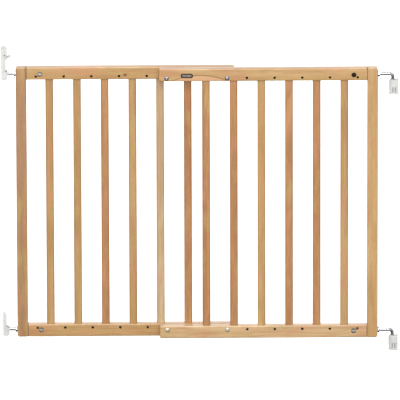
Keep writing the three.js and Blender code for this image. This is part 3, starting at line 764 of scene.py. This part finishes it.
def make_stile(section):
    outer, run, middle = section_frame(section)
    low, high, _ = box_of(f"{section}_stile")
    width = high.x - low.x
    stile = from_bmesh(f"stile_{section}", wood_bar(low, high, outer, STILE_CORNER))
    tools = []
    for end in ENDS:
        pin_z = middle_of(f"{section}_{end}_lock_nut").z
        tools.append(eased_hole((outer, middle, pin_z), run * X, PIN_BORE_RADIUS, width + CUT))
        tools.append(dowel_hole(section, end, outer + run * width, -run))
    return combine(stile, tools)


def make_rail(section, end):
    outer, run, middle = section_frame(section)
    low, high, _ = box_of(f"{section}_{end}_rail")
    near, far = rail_ends(section, end)
    butt = near - run * CLOSE_FIT
    (low if run > 0 else high).x = butt
    rail = from_bmesh(f"rail_{section}_{end}", wood_bar(low, high, far, RAIL_CORNER, butt))
    up, inner_z = (1, low.z) if end == "top" else (-1, high.z)
    pin_z = middle_of(f"{section}_{end}_lock_nut").z
    cross_x = middle_of(f"{section}_{end}_cross_dowel").x
    bore_length = PIN_BORE_LENGTH - abs(near - outer)
    tools = [
        eased_hole((near, middle, pin_z), run * X, PIN_BORE_RADIUS, bore_length, JOINT_HOLE_EASING),
        dowel_hole(section, end, near, run),
        eased_hole((cross_x, low.y, pin_z), Y, CROSS_HOLE_RADIUS, CROSS_HOLE_DEPTH),
    ]
    for x, z in width_holes(section, end):
        tools.append(through_hole((x, low.y, z), Y, WIDTH_HOLE_RADIUS, high.y - low.y, HOLE_EASING, 32))
    for number in range(1, BALUSTER_COUNT + 1):
        place = (middle_of(f"{section}_baluster_{number}").x, middle, inner_z)
        tools.append(eased_hole(place, up * Z, TENON_RADIUS + GAP, TENON_LENGTH + GAP, JOINT_HOLE_EASING))
    return combine(rail, tools)


def dark_faces(section, end):
    """A test for a rail's faces in the holes bored from its front, which take painted shade, and in the
    groove at its joint, which is darkened.
    """
    butt = rail_ends(section, end)[0] - section_frame(section)[1] * CLOSE_FIT
    cross = middle_of(f"{section}_{end}_cross_dowel")
    holes = [(x, z, WIDTH_HOLE_RADIUS) for x, z in width_holes(section, end)]
    holes.append((cross.x, cross.z, CROSS_HOLE_RADIUS))

    def chosen(face):
        x, z = face.center.x, face.center.z
        upright = abs(face.normal.y) < 0.5
        near = any(math.hypot(x - hole_x, z - hole_z) < radius + SKIN for hole_x, hole_z, radius in holes)
        return (upright and near) or abs(x - butt) < JOINT_EASING
    return chosen


def make_baluster(section, number):
    """A bar of nearly oval section between two round tenons, lofted in rings along Z."""
    low, high, middle = box_of(f"{section}_baluster_{number}")
    half_width, half_depth = (high.x - low.x) / 2, (high.y - low.y) / 2
    line = rounded_box(half_width, half_depth, BALUSTER_CORNER, 9)
    shoulder_low, shoulder_high = low.z + TENON_LENGTH - CLOSE_FIT, high.z - TENON_LENGTH + CLOSE_FIT
    easing = BALUSTER_EASING
    bm = bmesh.new()

    def ring(z, shrink=0.0):
        wide, deep = 1 - shrink / half_width, 1 - shrink / half_depth
        return [bm.verts.new((middle.x + p.x * wide, middle.y + p.y * deep, z)) for p in line]

    def tenon(z, width=TENON_RADIUS):
        ways = [p.normalized() for p in line]
        return [bm.verts.new((middle.x + width * way.x, middle.y + width * way.y, z)) for way in ways]

    rings = [tenon(low.z, TENON_RADIUS - easing), tenon(low.z + easing), tenon(shoulder_low),
             ring(shoulder_low, easing), ring(shoulder_low + easing)]
    rings += [ring(z) for z in dense(shoulder_low + easing, shoulder_high - easing, BALUSTER_STEP)[1:]]
    rings += [ring(shoulder_high, easing), tenon(shoulder_high), tenon(high.z - easing),
              tenon(high.z, TENON_RADIUS - easing)]
    return loft(f"baluster_{section}_{number}", bm, rings)


def make_wood_dowel(section, end):
    low, high, middle = box_of(f"{section}_{end}_wood_dowel")
    place = (low.x, middle.y, middle.z)
    return eased_rod(f"dowel_{section}_{end}", place, X, DOWEL_RADIUS, high.x - low.x, DOWEL_EASING, 24)


# The timber of each section's balusters, in their order.
BALUSTER_TIMBERS = {
    "front": ("straw", "amber", "amber", "honey", "amber", "amber"),
    "rear": ("straw", "straw", "amber", "straw", "cream", "amber"),
}
ARCH_PAST_PLATE = 17 * MM
ARCH_FOOT = 4 * MM
ARCH_RISE = 12 * MM
KNOT_FROM_MIDDLE = 14 * MM
KNOT_BELOW_TOP = 21 * MM
KNOT_RADIUS = 2.4 * MM
STAIN_LENGTH_SHARE = 0.45
STAIN_SHIFT = 100 * MM
STAIN_BELOW_TOP = 90 * MM


def rail_marks(section, end):
    """The marks in a rail's wood, placed by what is on the rail."""
    low, high, _ = box_of(f"{section}_{end}_rail")
    if (section, end) == ("front", "top"):
        crest = box_of("oval_plate")[1].x + ARCH_PAST_PLATE
        half = box_of("rear_top_bolt")[0].x - crest
        return (("arch", crest, half, low.z + ARCH_FOOT, ARCH_RISE),)
    if (section, end) == ("rear", "top"):
        return (("knot", (low.x + high.x) / 2 - KNOT_FROM_MIDDLE, high.z - KNOT_BELOW_TOP, KNOT_RADIUS),)
    return ()


def stile_marks(section):
    low, high, _ = box_of(f"{section}_stile")
    if section == "front":
        return ()
    return (("stain", STAIN_LENGTH_SHARE * (low.z + high.z) + STAIN_SHIFT, high.z - STAIN_BELOW_TOP),)


def add_wood():
    made = {}

    def wood(timber, marks=()):
        if (timber, marks) not in made:
            made[timber, marks] = wood_material(timber, marks)
        return made[timber, marks]

    def place(piece, along, node, material, degrees=32):
        add_grain(piece, along)
        return stand_for(piece, node, material, degrees)

    bore_shade = bore_shade_material()
    for section in SECTIONS:
        timber = "honey" if section == "front" else "rose"
        place(make_stile(section), "Z", f"{section}_stile", wood(timber, stile_marks(section)))
        for end in ENDS:
            timber = "wheat" if (section, end) == ("front", "bottom") else "honey"
            material = wood(timber, rail_marks(section, end))
            rail = place(make_rail(section, end), "X", f"{section}_{end}_rail", material)
            # The hole walls and the joint groove take the near-black wood: painted shade in the holes, and
            # a darkened joint.
            second_finish(rail, bore_shade, dark_faces(section, end))
            place(make_wood_dowel(section, end), "X", f"{section}_{end}_wood_dowel", wood("cream"))
        for number, timber in enumerate(BALUSTER_TIMBERS[section], 1):
            place(make_baluster(section, number), "Z", f"{section}_baluster_{number}", wood(timber), 40)


# ---- steel pieces

PIN_CHAMFER = 0.8 * MM
PIN_THREAD = 75 * MM  # the screwed length of a pin, from its inner end
PIN_STEP = 2 * MM
LEG_BEND_RADIUS = 8 * MM
BEND_STEP = math.radians(6)
LOCK_NUT_RADIUS = 7.5 * MM
LOCK_NUT_EASING = 0.5 * MM
CROSS_DOWEL_EASING = 1 * MM
PIVOT_EASING = 0.4 * MM
SLOT_WIDTH = 1.6 * MM
SLOT_DEPTH = 1.2 * MM
BOLT_RADIUS = 3 * MM
BOLT_HEAD_RADIUS = 5.75 * MM
BOLT_HEAD_HEIGHT = 3.3 * MM
BOLT_SOCKET_RADIUS = 2.3 * MM
BOLT_SOCKET_DEPTH = 1.9 * MM
BOLT_SOCKET_TIP = 0.8 * MM
BOLT_FLAT_SHARE = 0.5  # the flat middle of the head against its radius
BOLT_CROWN_SHARE = 0.82  # the crown against the head's height
BOLT_RIM_SHARE = 0.86  # where the head's straight rim starts, against its height
BOLT_UNDER_SHARE = 0.98  # the head's underside against its radius
BOLT_THREAD_LENGTH = 20 * MM
BOLT_THREAD_DEPTH = 0.35 * MM
BOLT_CHAMFER = 0.5 * MM
BOLT_IN_HEAD = 4 * MM  # the shank counts as starting this far back, so it has no chamfer there
NUT_HEX_RADIUS = 5.8 * MM
NUT_HEX_HEIGHT = 5.5 * MM
NUT_DOME_RADIUS = 4.8 * MM
NUT_BORE_DEPTH = 8 * MM
DOME_SUNK = 0.5 * MM


PIN_MARKS = [0, *dense(PIN_CHAMFER, PIN_THREAD, THREAD_PITCH / THREAD_STEPS)]  # along its thread


def pin_radius(length):
    return screw_radius(PIN_RADIUS, THREAD_PITCH, THREAD_DEPTH, [(0, PIN_THREAD)], (0, length), PIN_CHAMFER)


def make_hinge_pin(end):
    """A screwed shaft that bends down into a smooth leg."""
    low, high, middle = box_of(f"hinge_pin_{end}")
    top = high.z - PIN_RADIUS
    leg_x = high.x - PIN_RADIUS
    straight = leg_x - LEG_BEND_RADIUS - low.x
    leg = top - LEG_BEND_RADIUS - low.z
    bend = LEG_BEND_RADIUS * math.pi / 2
    stations = []
    for along in [*PIN_MARKS, *dense(PIN_THREAD, straight, PIN_STEP)[1:]]:
        stations.append((Vector((low.x + along, middle.y, top)), Y, Z, along))
    centre = Vector((leg_x - LEG_BEND_RADIUS, middle.y, top - LEG_BEND_RADIUS))
    for turn in dense(0, math.pi / 2, BEND_STEP)[1:]:
        side = Vector((math.sin(turn), 0, math.cos(turn)))
        stations.append((centre + LEG_BEND_RADIUS * side, Y, side, straight + LEG_BEND_RADIUS * turn))
    for down in [*dense(0, leg - PIN_CHAMFER, 2 * PIN_STEP)[1:], leg]:
        stations.append((Vector((leg_x, middle.y, centre.z - down)), Y, X, straight + bend + down))
    return sweep(f"pin_hinge_{end}", stations, pin_radius(straight + bend + leg))


def make_latch_pin(end):
    low, high, middle = box_of(f"latch_pin_{end}")
    length = high.x - low.x
    marks = [*PIN_MARKS, *dense(PIN_THREAD, length - PIN_CHAMFER, PIN_STEP)[1:], length]
    stations = [(Vector((high.x - along, middle.y, middle.z)), Y, Z, along) for along in marks]
    return sweep(f"pin_latch_{end}", stations, pin_radius(length))


def make_lock_nut(section, end):
    """A thin hexagon nut, chamfered on both faces and bored for the pin."""
    _, run, middle = section_frame(section)
    low, high, _ = box_of(f"{section}_{end}_lock_nut")
    origin = (low.x if run < 0 else high.x, middle, (low.z + high.z) / 2)
    length = high.x - low.x
    nut = hexagon("nut", origin, -run * X, LOCK_NUT_RADIUS, length, math.pi / 6)
    return combine(nut, [through_hole(origin, -run * X, PIN_RADIUS + GAP, length, LOCK_NUT_EASING, 48)])


def make_cross_dowel(section, end):
    """A barrel slotted across its front end, and bored through its side for the pin."""
    low, high, middle = box_of(f"{section}_{end}_cross_dowel")
    radius = (high.x - low.x) / 2
    barrel = eased_rod("barrel", (middle.x, low.y, middle.z), Y, radius, high.y - low.y, CROSS_DOWEL_EASING)
    start = (low.x - CUT, section_frame(section)[2], middle.z)
    slot = box_tool((low.x - CUT, low.y - CUT, middle.z - SLOT_WIDTH / 2),
                    (high.x + CUT, low.y + SLOT_DEPTH, middle.z + SLOT_WIDTH / 2))
    return combine(barrel, [rod(start, X, PIN_RADIUS + GAP, 2 * radius + 2 * CUT), slot])


def make_bolt(section, end):
    """A button-head bolt with a hexagon socket and a rolled thread at its end."""
    low, high, middle = box_of(f"{section}_{end}_bolt")
    face = (middle.x, low.y, middle.z)
    under = low.y + BOLT_HEAD_HEIGHT
    flat, round_part = BOLT_FLAT_SHARE, 1 - BOLT_FLAT_SHARE
    crown = [(0, 0), (BOLT_HEAD_RADIUS * flat, 0)]
    crown += [(BOLT_HEAD_RADIUS * (flat + round_part * c), BOLT_CROWN_SHARE * BOLT_HEAD_HEIGHT * (1 - s))
              for c, s in arc(75, 0, -15)]
    crown += [(BOLT_HEAD_RADIUS, BOLT_RIM_SHARE * BOLT_HEAD_HEIGHT),
              (BOLT_HEAD_RADIUS * BOLT_UNDER_SHARE, BOLT_HEAD_HEIGHT), (0, BOLT_HEAD_HEIGHT)]
    head = lathe("head", crown, face, Y)
    length = high.y - under
    thread = length - BOLT_THREAD_LENGTH
    marks = [-CUT, *dense(thread, length - BOLT_CHAMFER, BOLT_PITCH / THREAD_STEPS), length]
    stations = [(Vector((middle.x, under + along, middle.z)), Z, X, along) for along in marks]
    radius_at = screw_radius(BOLT_RADIUS, BOLT_PITCH, BOLT_THREAD_DEPTH, [(thread, length)],
                             (-BOLT_IN_HEAD, length), BOLT_CHAMFER)
    combine(head, [sweep("shank", stations, radius_at, 20)], "UNION")
    socket = [(0, -CUT), (BOLT_SOCKET_RADIUS, -CUT), (BOLT_SOCKET_RADIUS, BOLT_SOCKET_DEPTH),
              (0, BOLT_SOCKET_DEPTH + BOLT_SOCKET_TIP)]
    return combine(head, [lathe("tool", socket, face, Y, 6)])


def make_dome_nut(section, end):
    low, _, middle = box_of(f"{section}_{end}_dome_nut")
    origin = (middle.x, low.y, middle.z)
    dome = [(0, DOME_SUNK), (NUT_DOME_RADIUS, DOME_SUNK), (NUT_DOME_RADIUS, NUT_HEX_HEIGHT + SKIN)]
    dome += [(NUT_DOME_RADIUS * c, NUT_HEX_HEIGHT + NUT_DOME_RADIUS * s) for c, s in arc(10, 90, 10)]
    dome.append((0, NUT_HEX_HEIGHT + NUT_DOME_RADIUS))
    nut = hexagon("nut", origin, Y, NUT_HEX_RADIUS, NUT_HEX_HEIGHT)
    combine(nut, [lathe("tool", dome, origin, Y)], "UNION")
    bore_start = (middle.x, low.y - CUT, middle.z)
    return combine(nut, [rod(bore_start, Y, BOLT_RADIUS + GAP, NUT_BORE_DEPTH + CUT)])


def make_catch_pivot():
    low, high, middle = box_of("catch_pivot")
    radius = (high.x - low.x) / 2
    return eased_rod("pivot", (middle.x, low.y, middle.z), Y, radius, high.y - low.y, PIVOT_EASING, 32)


SPRING_TURNS = 2.5
SPRING_STEPS = 40  # rings of points in one turn
SPRING_WIRE_RADIUS = 0.35 * MM
SPRING_LEVER_RADIUS = 1.8 * MM


def make_catch_spring():
    """A conical wire spring that winds inwards from the bracket to the lever."""
    low, high, middle = box_of("catch_spring")
    wire = SPRING_WIRE_RADIUS
    wide = (high.z - low.z) / 2 - wire
    stations = []
    steps = int(SPRING_TURNS * SPRING_STEPS)
    for k in range(steps + 1):
        t = k / steps
        turn = 2 * math.pi * SPRING_TURNS * t
        radial = Vector((0, math.cos(turn), math.sin(turn)))
        radius = wide + (SPRING_LEVER_RADIUS - wide) * t
        x = low.x + wire + (high.x - low.x - 2 * wire) * t
        point = Vector((x, middle.y, middle.z)) + radius * radial
        tangent = Vector((0, -math.sin(turn), math.cos(turn)))
        stations.append((point, radial, tangent.cross(radial), k * wire))
    return sweep("spring", stations, lambda along, angle: wire, 12)


def add_steel():
    chrome = metal_material("chrome", ("96989c", "b2b3b7"), 0.07, 0.2)
    zinc = metal_material("zinc", ("c4bfba", "dad5d0"), 0.16, 0.3)
    # Near-black zinc, for painted shade on one cross dowel.
    dull_zinc = metal_material("dull_zinc", ("2c2825", "48423c"), 0.35, 0.5)
    nickel = metal_material("nickel", ("dcd3c6", "efe8dd"), 0.42, 0.6)
    for end in ENDS:
        stand_for(make_hinge_pin(end), f"hinge_pin_{end}", chrome)
        stand_for(make_latch_pin(end), f"latch_pin_{end}", chrome)
        for section in SECTIONS:
            # The front top cross dowel takes near-black zinc: painted shade in its hole.
            barrel = dull_zinc if (section, end) == ("front", "top") else zinc
            stand_for(make_lock_nut(section, end), f"{section}_{end}_lock_nut", chrome)
            stand_for(make_cross_dowel(section, end), f"{section}_{end}_cross_dowel", barrel)
            stand_for(make_bolt(section, end), f"{section}_{end}_bolt", chrome if end == "top" else nickel)
            stand_for(make_dome_nut(section, end), f"{section}_{end}_dome_nut", chrome)
    stand_for(make_catch_pivot(), "catch_pivot", zinc)
    spring = stand_for(make_catch_spring(), "catch_spring", zinc, 60)
    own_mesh(spring)


# ---- moulded pieces

SOCKET_RADIUS = 9.5 * MM
SOCKET_ROUNDING = 2 * MM
PLATE_THICKNESS = 3 * MM
BUSH_RADIUS = 6 * MM
BUSH_BORE_RADIUS = 4.3 * MM
BUSH_RIM_RADIUS = 7.6 * MM
BUSH_RIM_HEIGHT = 1.2 * MM
BUSH_EASING = 0.35 * MM
SCREW_RADIUS = 2.3 * MM
SCREW_HEAD_RADIUS = 4.3 * MM
HINGE_SCREW_FROM_END = 7.5 * MM
PANEL = {"width": 14.5 * MM, "height": 17.5 * MM, "depth": 0.8 * MM, "above_foot": 3 * MM}
PANEL_FROM_WALL = 2.5 * MM
GROOVE = {"width": 3.2 * MM, "height": 14 * MM, "depth": 1.8 * MM, "above_foot": 5 * MM}
GROOVE_PITCH = 6.4 * MM
PLATE_CORNER = 3 * MM
PLATE_ROUNDING = 0.6 * MM
PLATE_TOP_FLAT = 1 * MM  # half of what stays straight of the plate's round top
BUSH_HOLE_EASING = 0.3 * MM
SCREW_HOLE_EASING = 0.4 * MM
WALL_CUT = 10 * MM  # deeper than anything that stands out behind the wall's face


def sunk_field(face, side, x, foot, sizes):
    """A cutting tool that sinks an upright rectangle into one side of a socket."""
    deep, proud = face - side * sizes["depth"], face + side * CUT
    low, half = foot + sizes["above_foot"], sizes["width"] / 2
    return box_tool((x - half, min(deep, proud), low), (x + half, max(deep, proud), low + sizes["height"]))


def make_hinge_bracket(end):
    """Both brackets are cut at the lower one's place, and the upper one is then moved up."""
    low, high, _ = box_of("hinge_bracket_bottom")
    bush_low, bush_high, _ = box_of("socket_bush_bottom")
    wall, foot, top = high.x, low.z, bush_high.z - BUSH_RIM_HEIGHT - GAP
    leg_x = (bush_low.x + bush_high.x) / 2
    mid_y, mid_z = (low.y + high.y) / 2, (low.z + high.z) / 2
    w, h = (high.y - low.y) / 2, (high.z - low.z) / 2
    crown = w - PLATE_TOP_FLAT
    shape = outline([(-w, -h, PLATE_CORNER), (w, -h, PLATE_CORNER), (w, h, crown), (-w, h, crown)], 12)
    plate = slab("plate", shape, lambda u, v, d: Vector((wall + d, mid_y + u, mid_z + v)),
                 -PLATE_THICKNESS, 0, PLATE_ROUNDING, 3)
    past_wall = wall + SOCKET_ROUNDING
    plan = [(past_wall, mid_y - SOCKET_RADIUS),
            *((leg_x - SOCKET_RADIUS * s, mid_y - SOCKET_RADIUS * c) for c, s in arc(0, 181, 6)),
            (past_wall, mid_y + SOCKET_RADIUS)]
    socket = slab("socket", plan, lambda u, v, d: Vector((u, v, d)), foot, top, SOCKET_ROUNDING, 5)
    combine(plate, [socket], "UNION")
    reach = leg_x - SOCKET_RADIUS
    screw_low, screw_high = low.z + HINGE_SCREW_FROM_END, high.z - HINGE_SCREW_FROM_END
    tip = SCREW_RADIUS - GAP  # the countersink's tip lies inside the screw's hole
    bottom = SCREW_HEAD_RADIUS - tip
    sink = [(0, -CUT), (SCREW_HEAD_RADIUS + CUT, -CUT), (tip, bottom), (0, bottom)]
    tools = [
        box_tool((wall, low.y - CUT, low.z - CUT), (wall + WALL_CUT, high.y + CUT, high.z + CUT)),
        eased_hole((leg_x, mid_y, top), -Z, BUSH_RADIUS + GAP, top - bush_low.z + GAP, BUSH_HOLE_EASING),
        rod((wall + CUT, mid_y, screw_low), -X, SCREW_RADIUS, wall - reach + 2 * CUT),
        eased_hole((reach, mid_y, screw_low), X, SCREW_HEAD_RADIUS, wall - PLATE_THICKNESS - reach,
                   SCREW_HOLE_EASING),
        rod((wall + CUT, mid_y, screw_high), -X, SCREW_RADIUS, PLATE_THICKNESS + 2 * CUT),
        lathe("tool", sink, (wall - PLATE_THICKNESS, mid_y, screw_high), X),
    ]
    for side in (-1, 1):
        face = mid_y + side * SOCKET_RADIUS
        tools += [sunk_field(face, side, wall - PANEL_FROM_WALL - PANEL["width"] / 2, foot, PANEL),
                  sunk_field(face, side, leg_x, foot, GROOVE),
                  sunk_field(face, side, leg_x + GROOVE_PITCH, foot, GROOVE)]
    combine(plate, tools)
    plate.data.transform(Matrix.Translation(box_of(f"hinge_bracket_{end}")[0] - low))
    return plate


def in_socket_groove(end):
    """A test for the faces deep in the grooves that are cut into a socket's sides, which are given painted
    shade.
    """
    foot = box_of(f"hinge_bracket_{end}")[0].z + GROOVE["above_foot"] - SKIN
    mid_y = middle_of(f"hinge_bracket_{end}").y
    leg_x = middle_of(f"socket_bush_{end}").x

    def chosen(face):
        x, y, z = face.center
        deep = PANEL["depth"] + SKIN < SOCKET_RADIUS - abs(y - mid_y) < GROOVE["depth"] + SKIN
        across = leg_x - GROOVE["width"] < x < leg_x + GROOVE_PITCH + GROOVE["width"]
        return deep and across and foot < z < foot + GROOVE["height"] + 2 * SKIN
    return chosen


def make_socket_bush(end):
    low, high, middle = box_of(f"socket_bush_{end}")
    top = high.z - low.z
    rim = top - BUSH_RIM_HEIGHT
    ease = BUSH_EASING
    profile = [(BUSH_BORE_RADIUS, 0), (BUSH_RADIUS - ease, 0), (BUSH_RADIUS, ease), (BUSH_RADIUS, rim),
               (BUSH_RIM_RADIUS, rim), (BUSH_RIM_RADIUS, top - ease), (BUSH_RIM_RADIUS - ease, top),
               (BUSH_BORE_RADIUS + ease, top), (BUSH_BORE_RADIUS, top - ease)]
    return lathe(f"bush_{end}", profile, (middle.x, middle.y, low.z), Z)


LATCH_BELOW_PIN = 15 * MM
LATCH_ROUNDING = 1.2 * MM
CRADLE_REACH = 17 * MM
CRADLE_ABOVE_PIN = 5.8 * MM
CRADLE_SLOT_RADIUS = 4.5 * MM
CRADLE_SLOT_START = 5 * MM
UPRIGHT_REACH = 9.5 * MM
LATCH_SCREW_BELOW_PIN = 9.8 * MM
LOWER_SCREW_ABOVE_PIN = 30 * MM
UPPER_SCREW_ABOVE_PIN = 63 * MM
SCREW_SEAT = 3 * MM
PIVOT_BORE_RADIUS = 2.3 * MM
CATCH_POCKET_WIDTH = 15.4 * MM
CATCH_POCKET_TOP = 58.5 * MM
HOOD_REACH = 16 * MM

# Side views, as (from the wall, above the pin, corner radius) in millimetres: what both latch
# brackets share, the upper one's hood, and the catch.
CRADLE_OUTLINE = [(0, -15, 2), (17, -15, 6), (17, 5.8, 2), (9.5, 5.8, 2)]
HOOD_OUTLINE = [(9.5, 20, 2), (13, 25, 2), (13, 46, 2), (16, 50, 2)]
CATCH_OUTLINE = [
    (6.2, 54, 3), (6.8, 24, 1.5), (8.6, 14, 1.5), (8.6, 7, 0.8), (10.3, 7, 0.8), (12.6, 15, 1),
    (12.6, 36, 2), (15, 39, 1.5), (24.5, 45.5, 1.4), (23.4, 48.2, 1.2), (14.4, 43.6, 2), (13, 54, 3),
]
LATCH_TOP_CORNERS = (6 * MM, 2 * MM)  # away from the wall, and at it


def in_metres(corners):
    return [(across * MM, up * MM, radius * MM) for across, up, radius in corners]


def seen_from_side(wall, mid_y, pin_z):
    """Puts the points of a side view in place, at a depth along Y."""
    return lambda u, v, d: Vector((wall + u, mid_y + d, pin_z + v))


def pivot_bore(low, high):
    """A cutting tool for the catch's pivot, right through a piece with this box."""
    pivot = middle_of("catch_pivot")
    return rod((pivot.x, low.y - CUT, pivot.z), Y, PIVOT_BORE_RADIUS, high.y - low.y + 2 * CUT)


def make_latch_bracket(end):
    low, high, _ = box_of(f"latch_bracket_{end}")
    wall, mid_y = low.x, (low.y + high.y) / 2
    pin_z = low.z + LATCH_BELOW_PIN
    above, half = high.z - pin_z, (high.y - low.y) / 2
    hooded = end == "top"
    upper_reach = HOOD_REACH if hooded else UPRIGHT_REACH
    upper_screw = UPPER_SCREW_ABOVE_PIN if hooded else LOWER_SCREW_ABOVE_PIN
    outer_corner, wall_corner = LATCH_TOP_CORNERS
    profile = in_metres(CRADLE_OUTLINE + HOOD_OUTLINE if hooded else CRADLE_OUTLINE)
    profile += [(upper_reach, above, outer_corner), (0, above, wall_corner)]
    body = slab("latch", outline(profile), seen_from_side(wall, mid_y, pin_z), -half, half, LATCH_ROUNDING)
    tools = [slab("tool", slot_outline(), lambda u, v, d: Vector((wall + d, mid_y + u, pin_z + v)),
                  CRADLE_SLOT_START, CRADLE_REACH + CUT)]
    for height, reach in ((-LATCH_SCREW_BELOW_PIN, CRADLE_REACH), (upper_screw, upper_reach)):
        z = pin_z + height
        tools.append(rod((wall - CUT, mid_y, z), X, SCREW_RADIUS, reach + 2 * CUT))
        tools.append(eased_hole((wall + reach, mid_y, z), -X, SCREW_HEAD_RADIUS, reach - SCREW_SEAT,
                                SCREW_HOLE_EASING))
    if hooded:
        side = CATCH_POCKET_WIDTH / 2
        tools.append(box_tool((wall + PLATE_THICKNESS, mid_y - side, pin_z + CRADLE_ABOVE_PIN - CUT),
                              (wall + CRADLE_REACH + CUT, mid_y + side, pin_z + CATCH_POCKET_TOP)))
        tools.append(pivot_bore(low, high))
    return combine(body, tools)


def slot_outline():
    """The cradle's slot seen along the pin: a half round floor and upright sides."""
    radius, top = CRADLE_SLOT_RADIUS, CRADLE_ABOVE_PIN + CUT
    return [*((radius * c, radius * s) for c, s in arc(180, 361, 6)), (radius, top), (-radius, top)]


def make_catch_lever():
    bracket = box_of("latch_bracket_top")[0]
    low, high, _ = box_of("catch_lever")
    half = (high.y - low.y) / 2
    place = seen_from_side(bracket.x, (low.y + high.y) / 2, bracket.z + LATCH_BELOW_PIN)
    lever = slab("lever", outline(in_metres(CATCH_OUTLINE)), place, -half, half, PLATE_ROUNDING)
    return combine(lever, [pivot_bore(low, high)])


OVAL_END_RADIUS = 5.4 * MM
# The plate's rim from its back edge over to the sunk field: how far in from its outline, in
# millimetres, and how far forward, as a share of its thickness.
OVAL_RIM = [(0.3, 0.0), (0, 0.2), (0, 0.7), (0.12, 0.88), (0.5, 1.0), (2.9, 1.0), (3.4, 0.7)]


def make_oval_plate():
    """A blank plate with round ends and a raised rim round a sunk field."""
    low, high, middle = box_of("oval_plate")
    long, tall = (high.x - low.x) / 2, (high.z - low.z) / 2
    thick = high.y - low.y
    bm = bmesh.new()
    rings = []
    for amount, share in OVAL_RIM:
        inset = amount * MM
        points = rounded_box(long - inset, tall - inset, OVAL_END_RADIUS - inset, 16)
        y = high.y - share * thick
        rings.append([bm.verts.new((middle.x + p.x, y, middle.z + p.y)) for p in points])
    return loft("oval", bm, rings)


def in_oval_field(face):
    """A test for the plate's sunk front field."""
    return len(face.vertices) > 4 and face.normal.y < 0


def add_mouldings():
    white = plastic_material("white_nylon", ("c9c9c6", "d6d6d3"), 0.38)
    grey = plastic_material("grey_nylon", ("bababa", "c9c9c7"), 0.45)
    groove_shade = plastic_material("nylon_in_groove", ("8f8f8b", "a8a8a4"), 0.6)
    for end in ENDS:
        bracket = stand_for(make_hinge_bracket(end), f"hinge_bracket_{end}", white)
        # The faces deep in the socket's grooves take a darker grey nylon: painted shade in the recesses.
        second_finish(bracket, groove_shade, in_socket_groove(end))
        stand_for(make_socket_bush(end), f"socket_bush_{end}", grey)
        stand_for(make_latch_bracket(end), f"latch_bracket_{end}", white)
    stand_for(make_catch_lever(), "catch_lever", white)
    plate = stand_for(make_oval_plate(), "oval_plate", plate_material("dark_plate", ("1c130c", "30251b")))
    second_finish(plate, plate_material("plate_field", ("766c61", "93887c")), in_oval_field)


# ---- the scene

add_camera()
add_studio()
add_floor()
add_wood()
add_steel()
add_mouldings()
bpy.context.scene.view_settings.view_transform = "Standard"
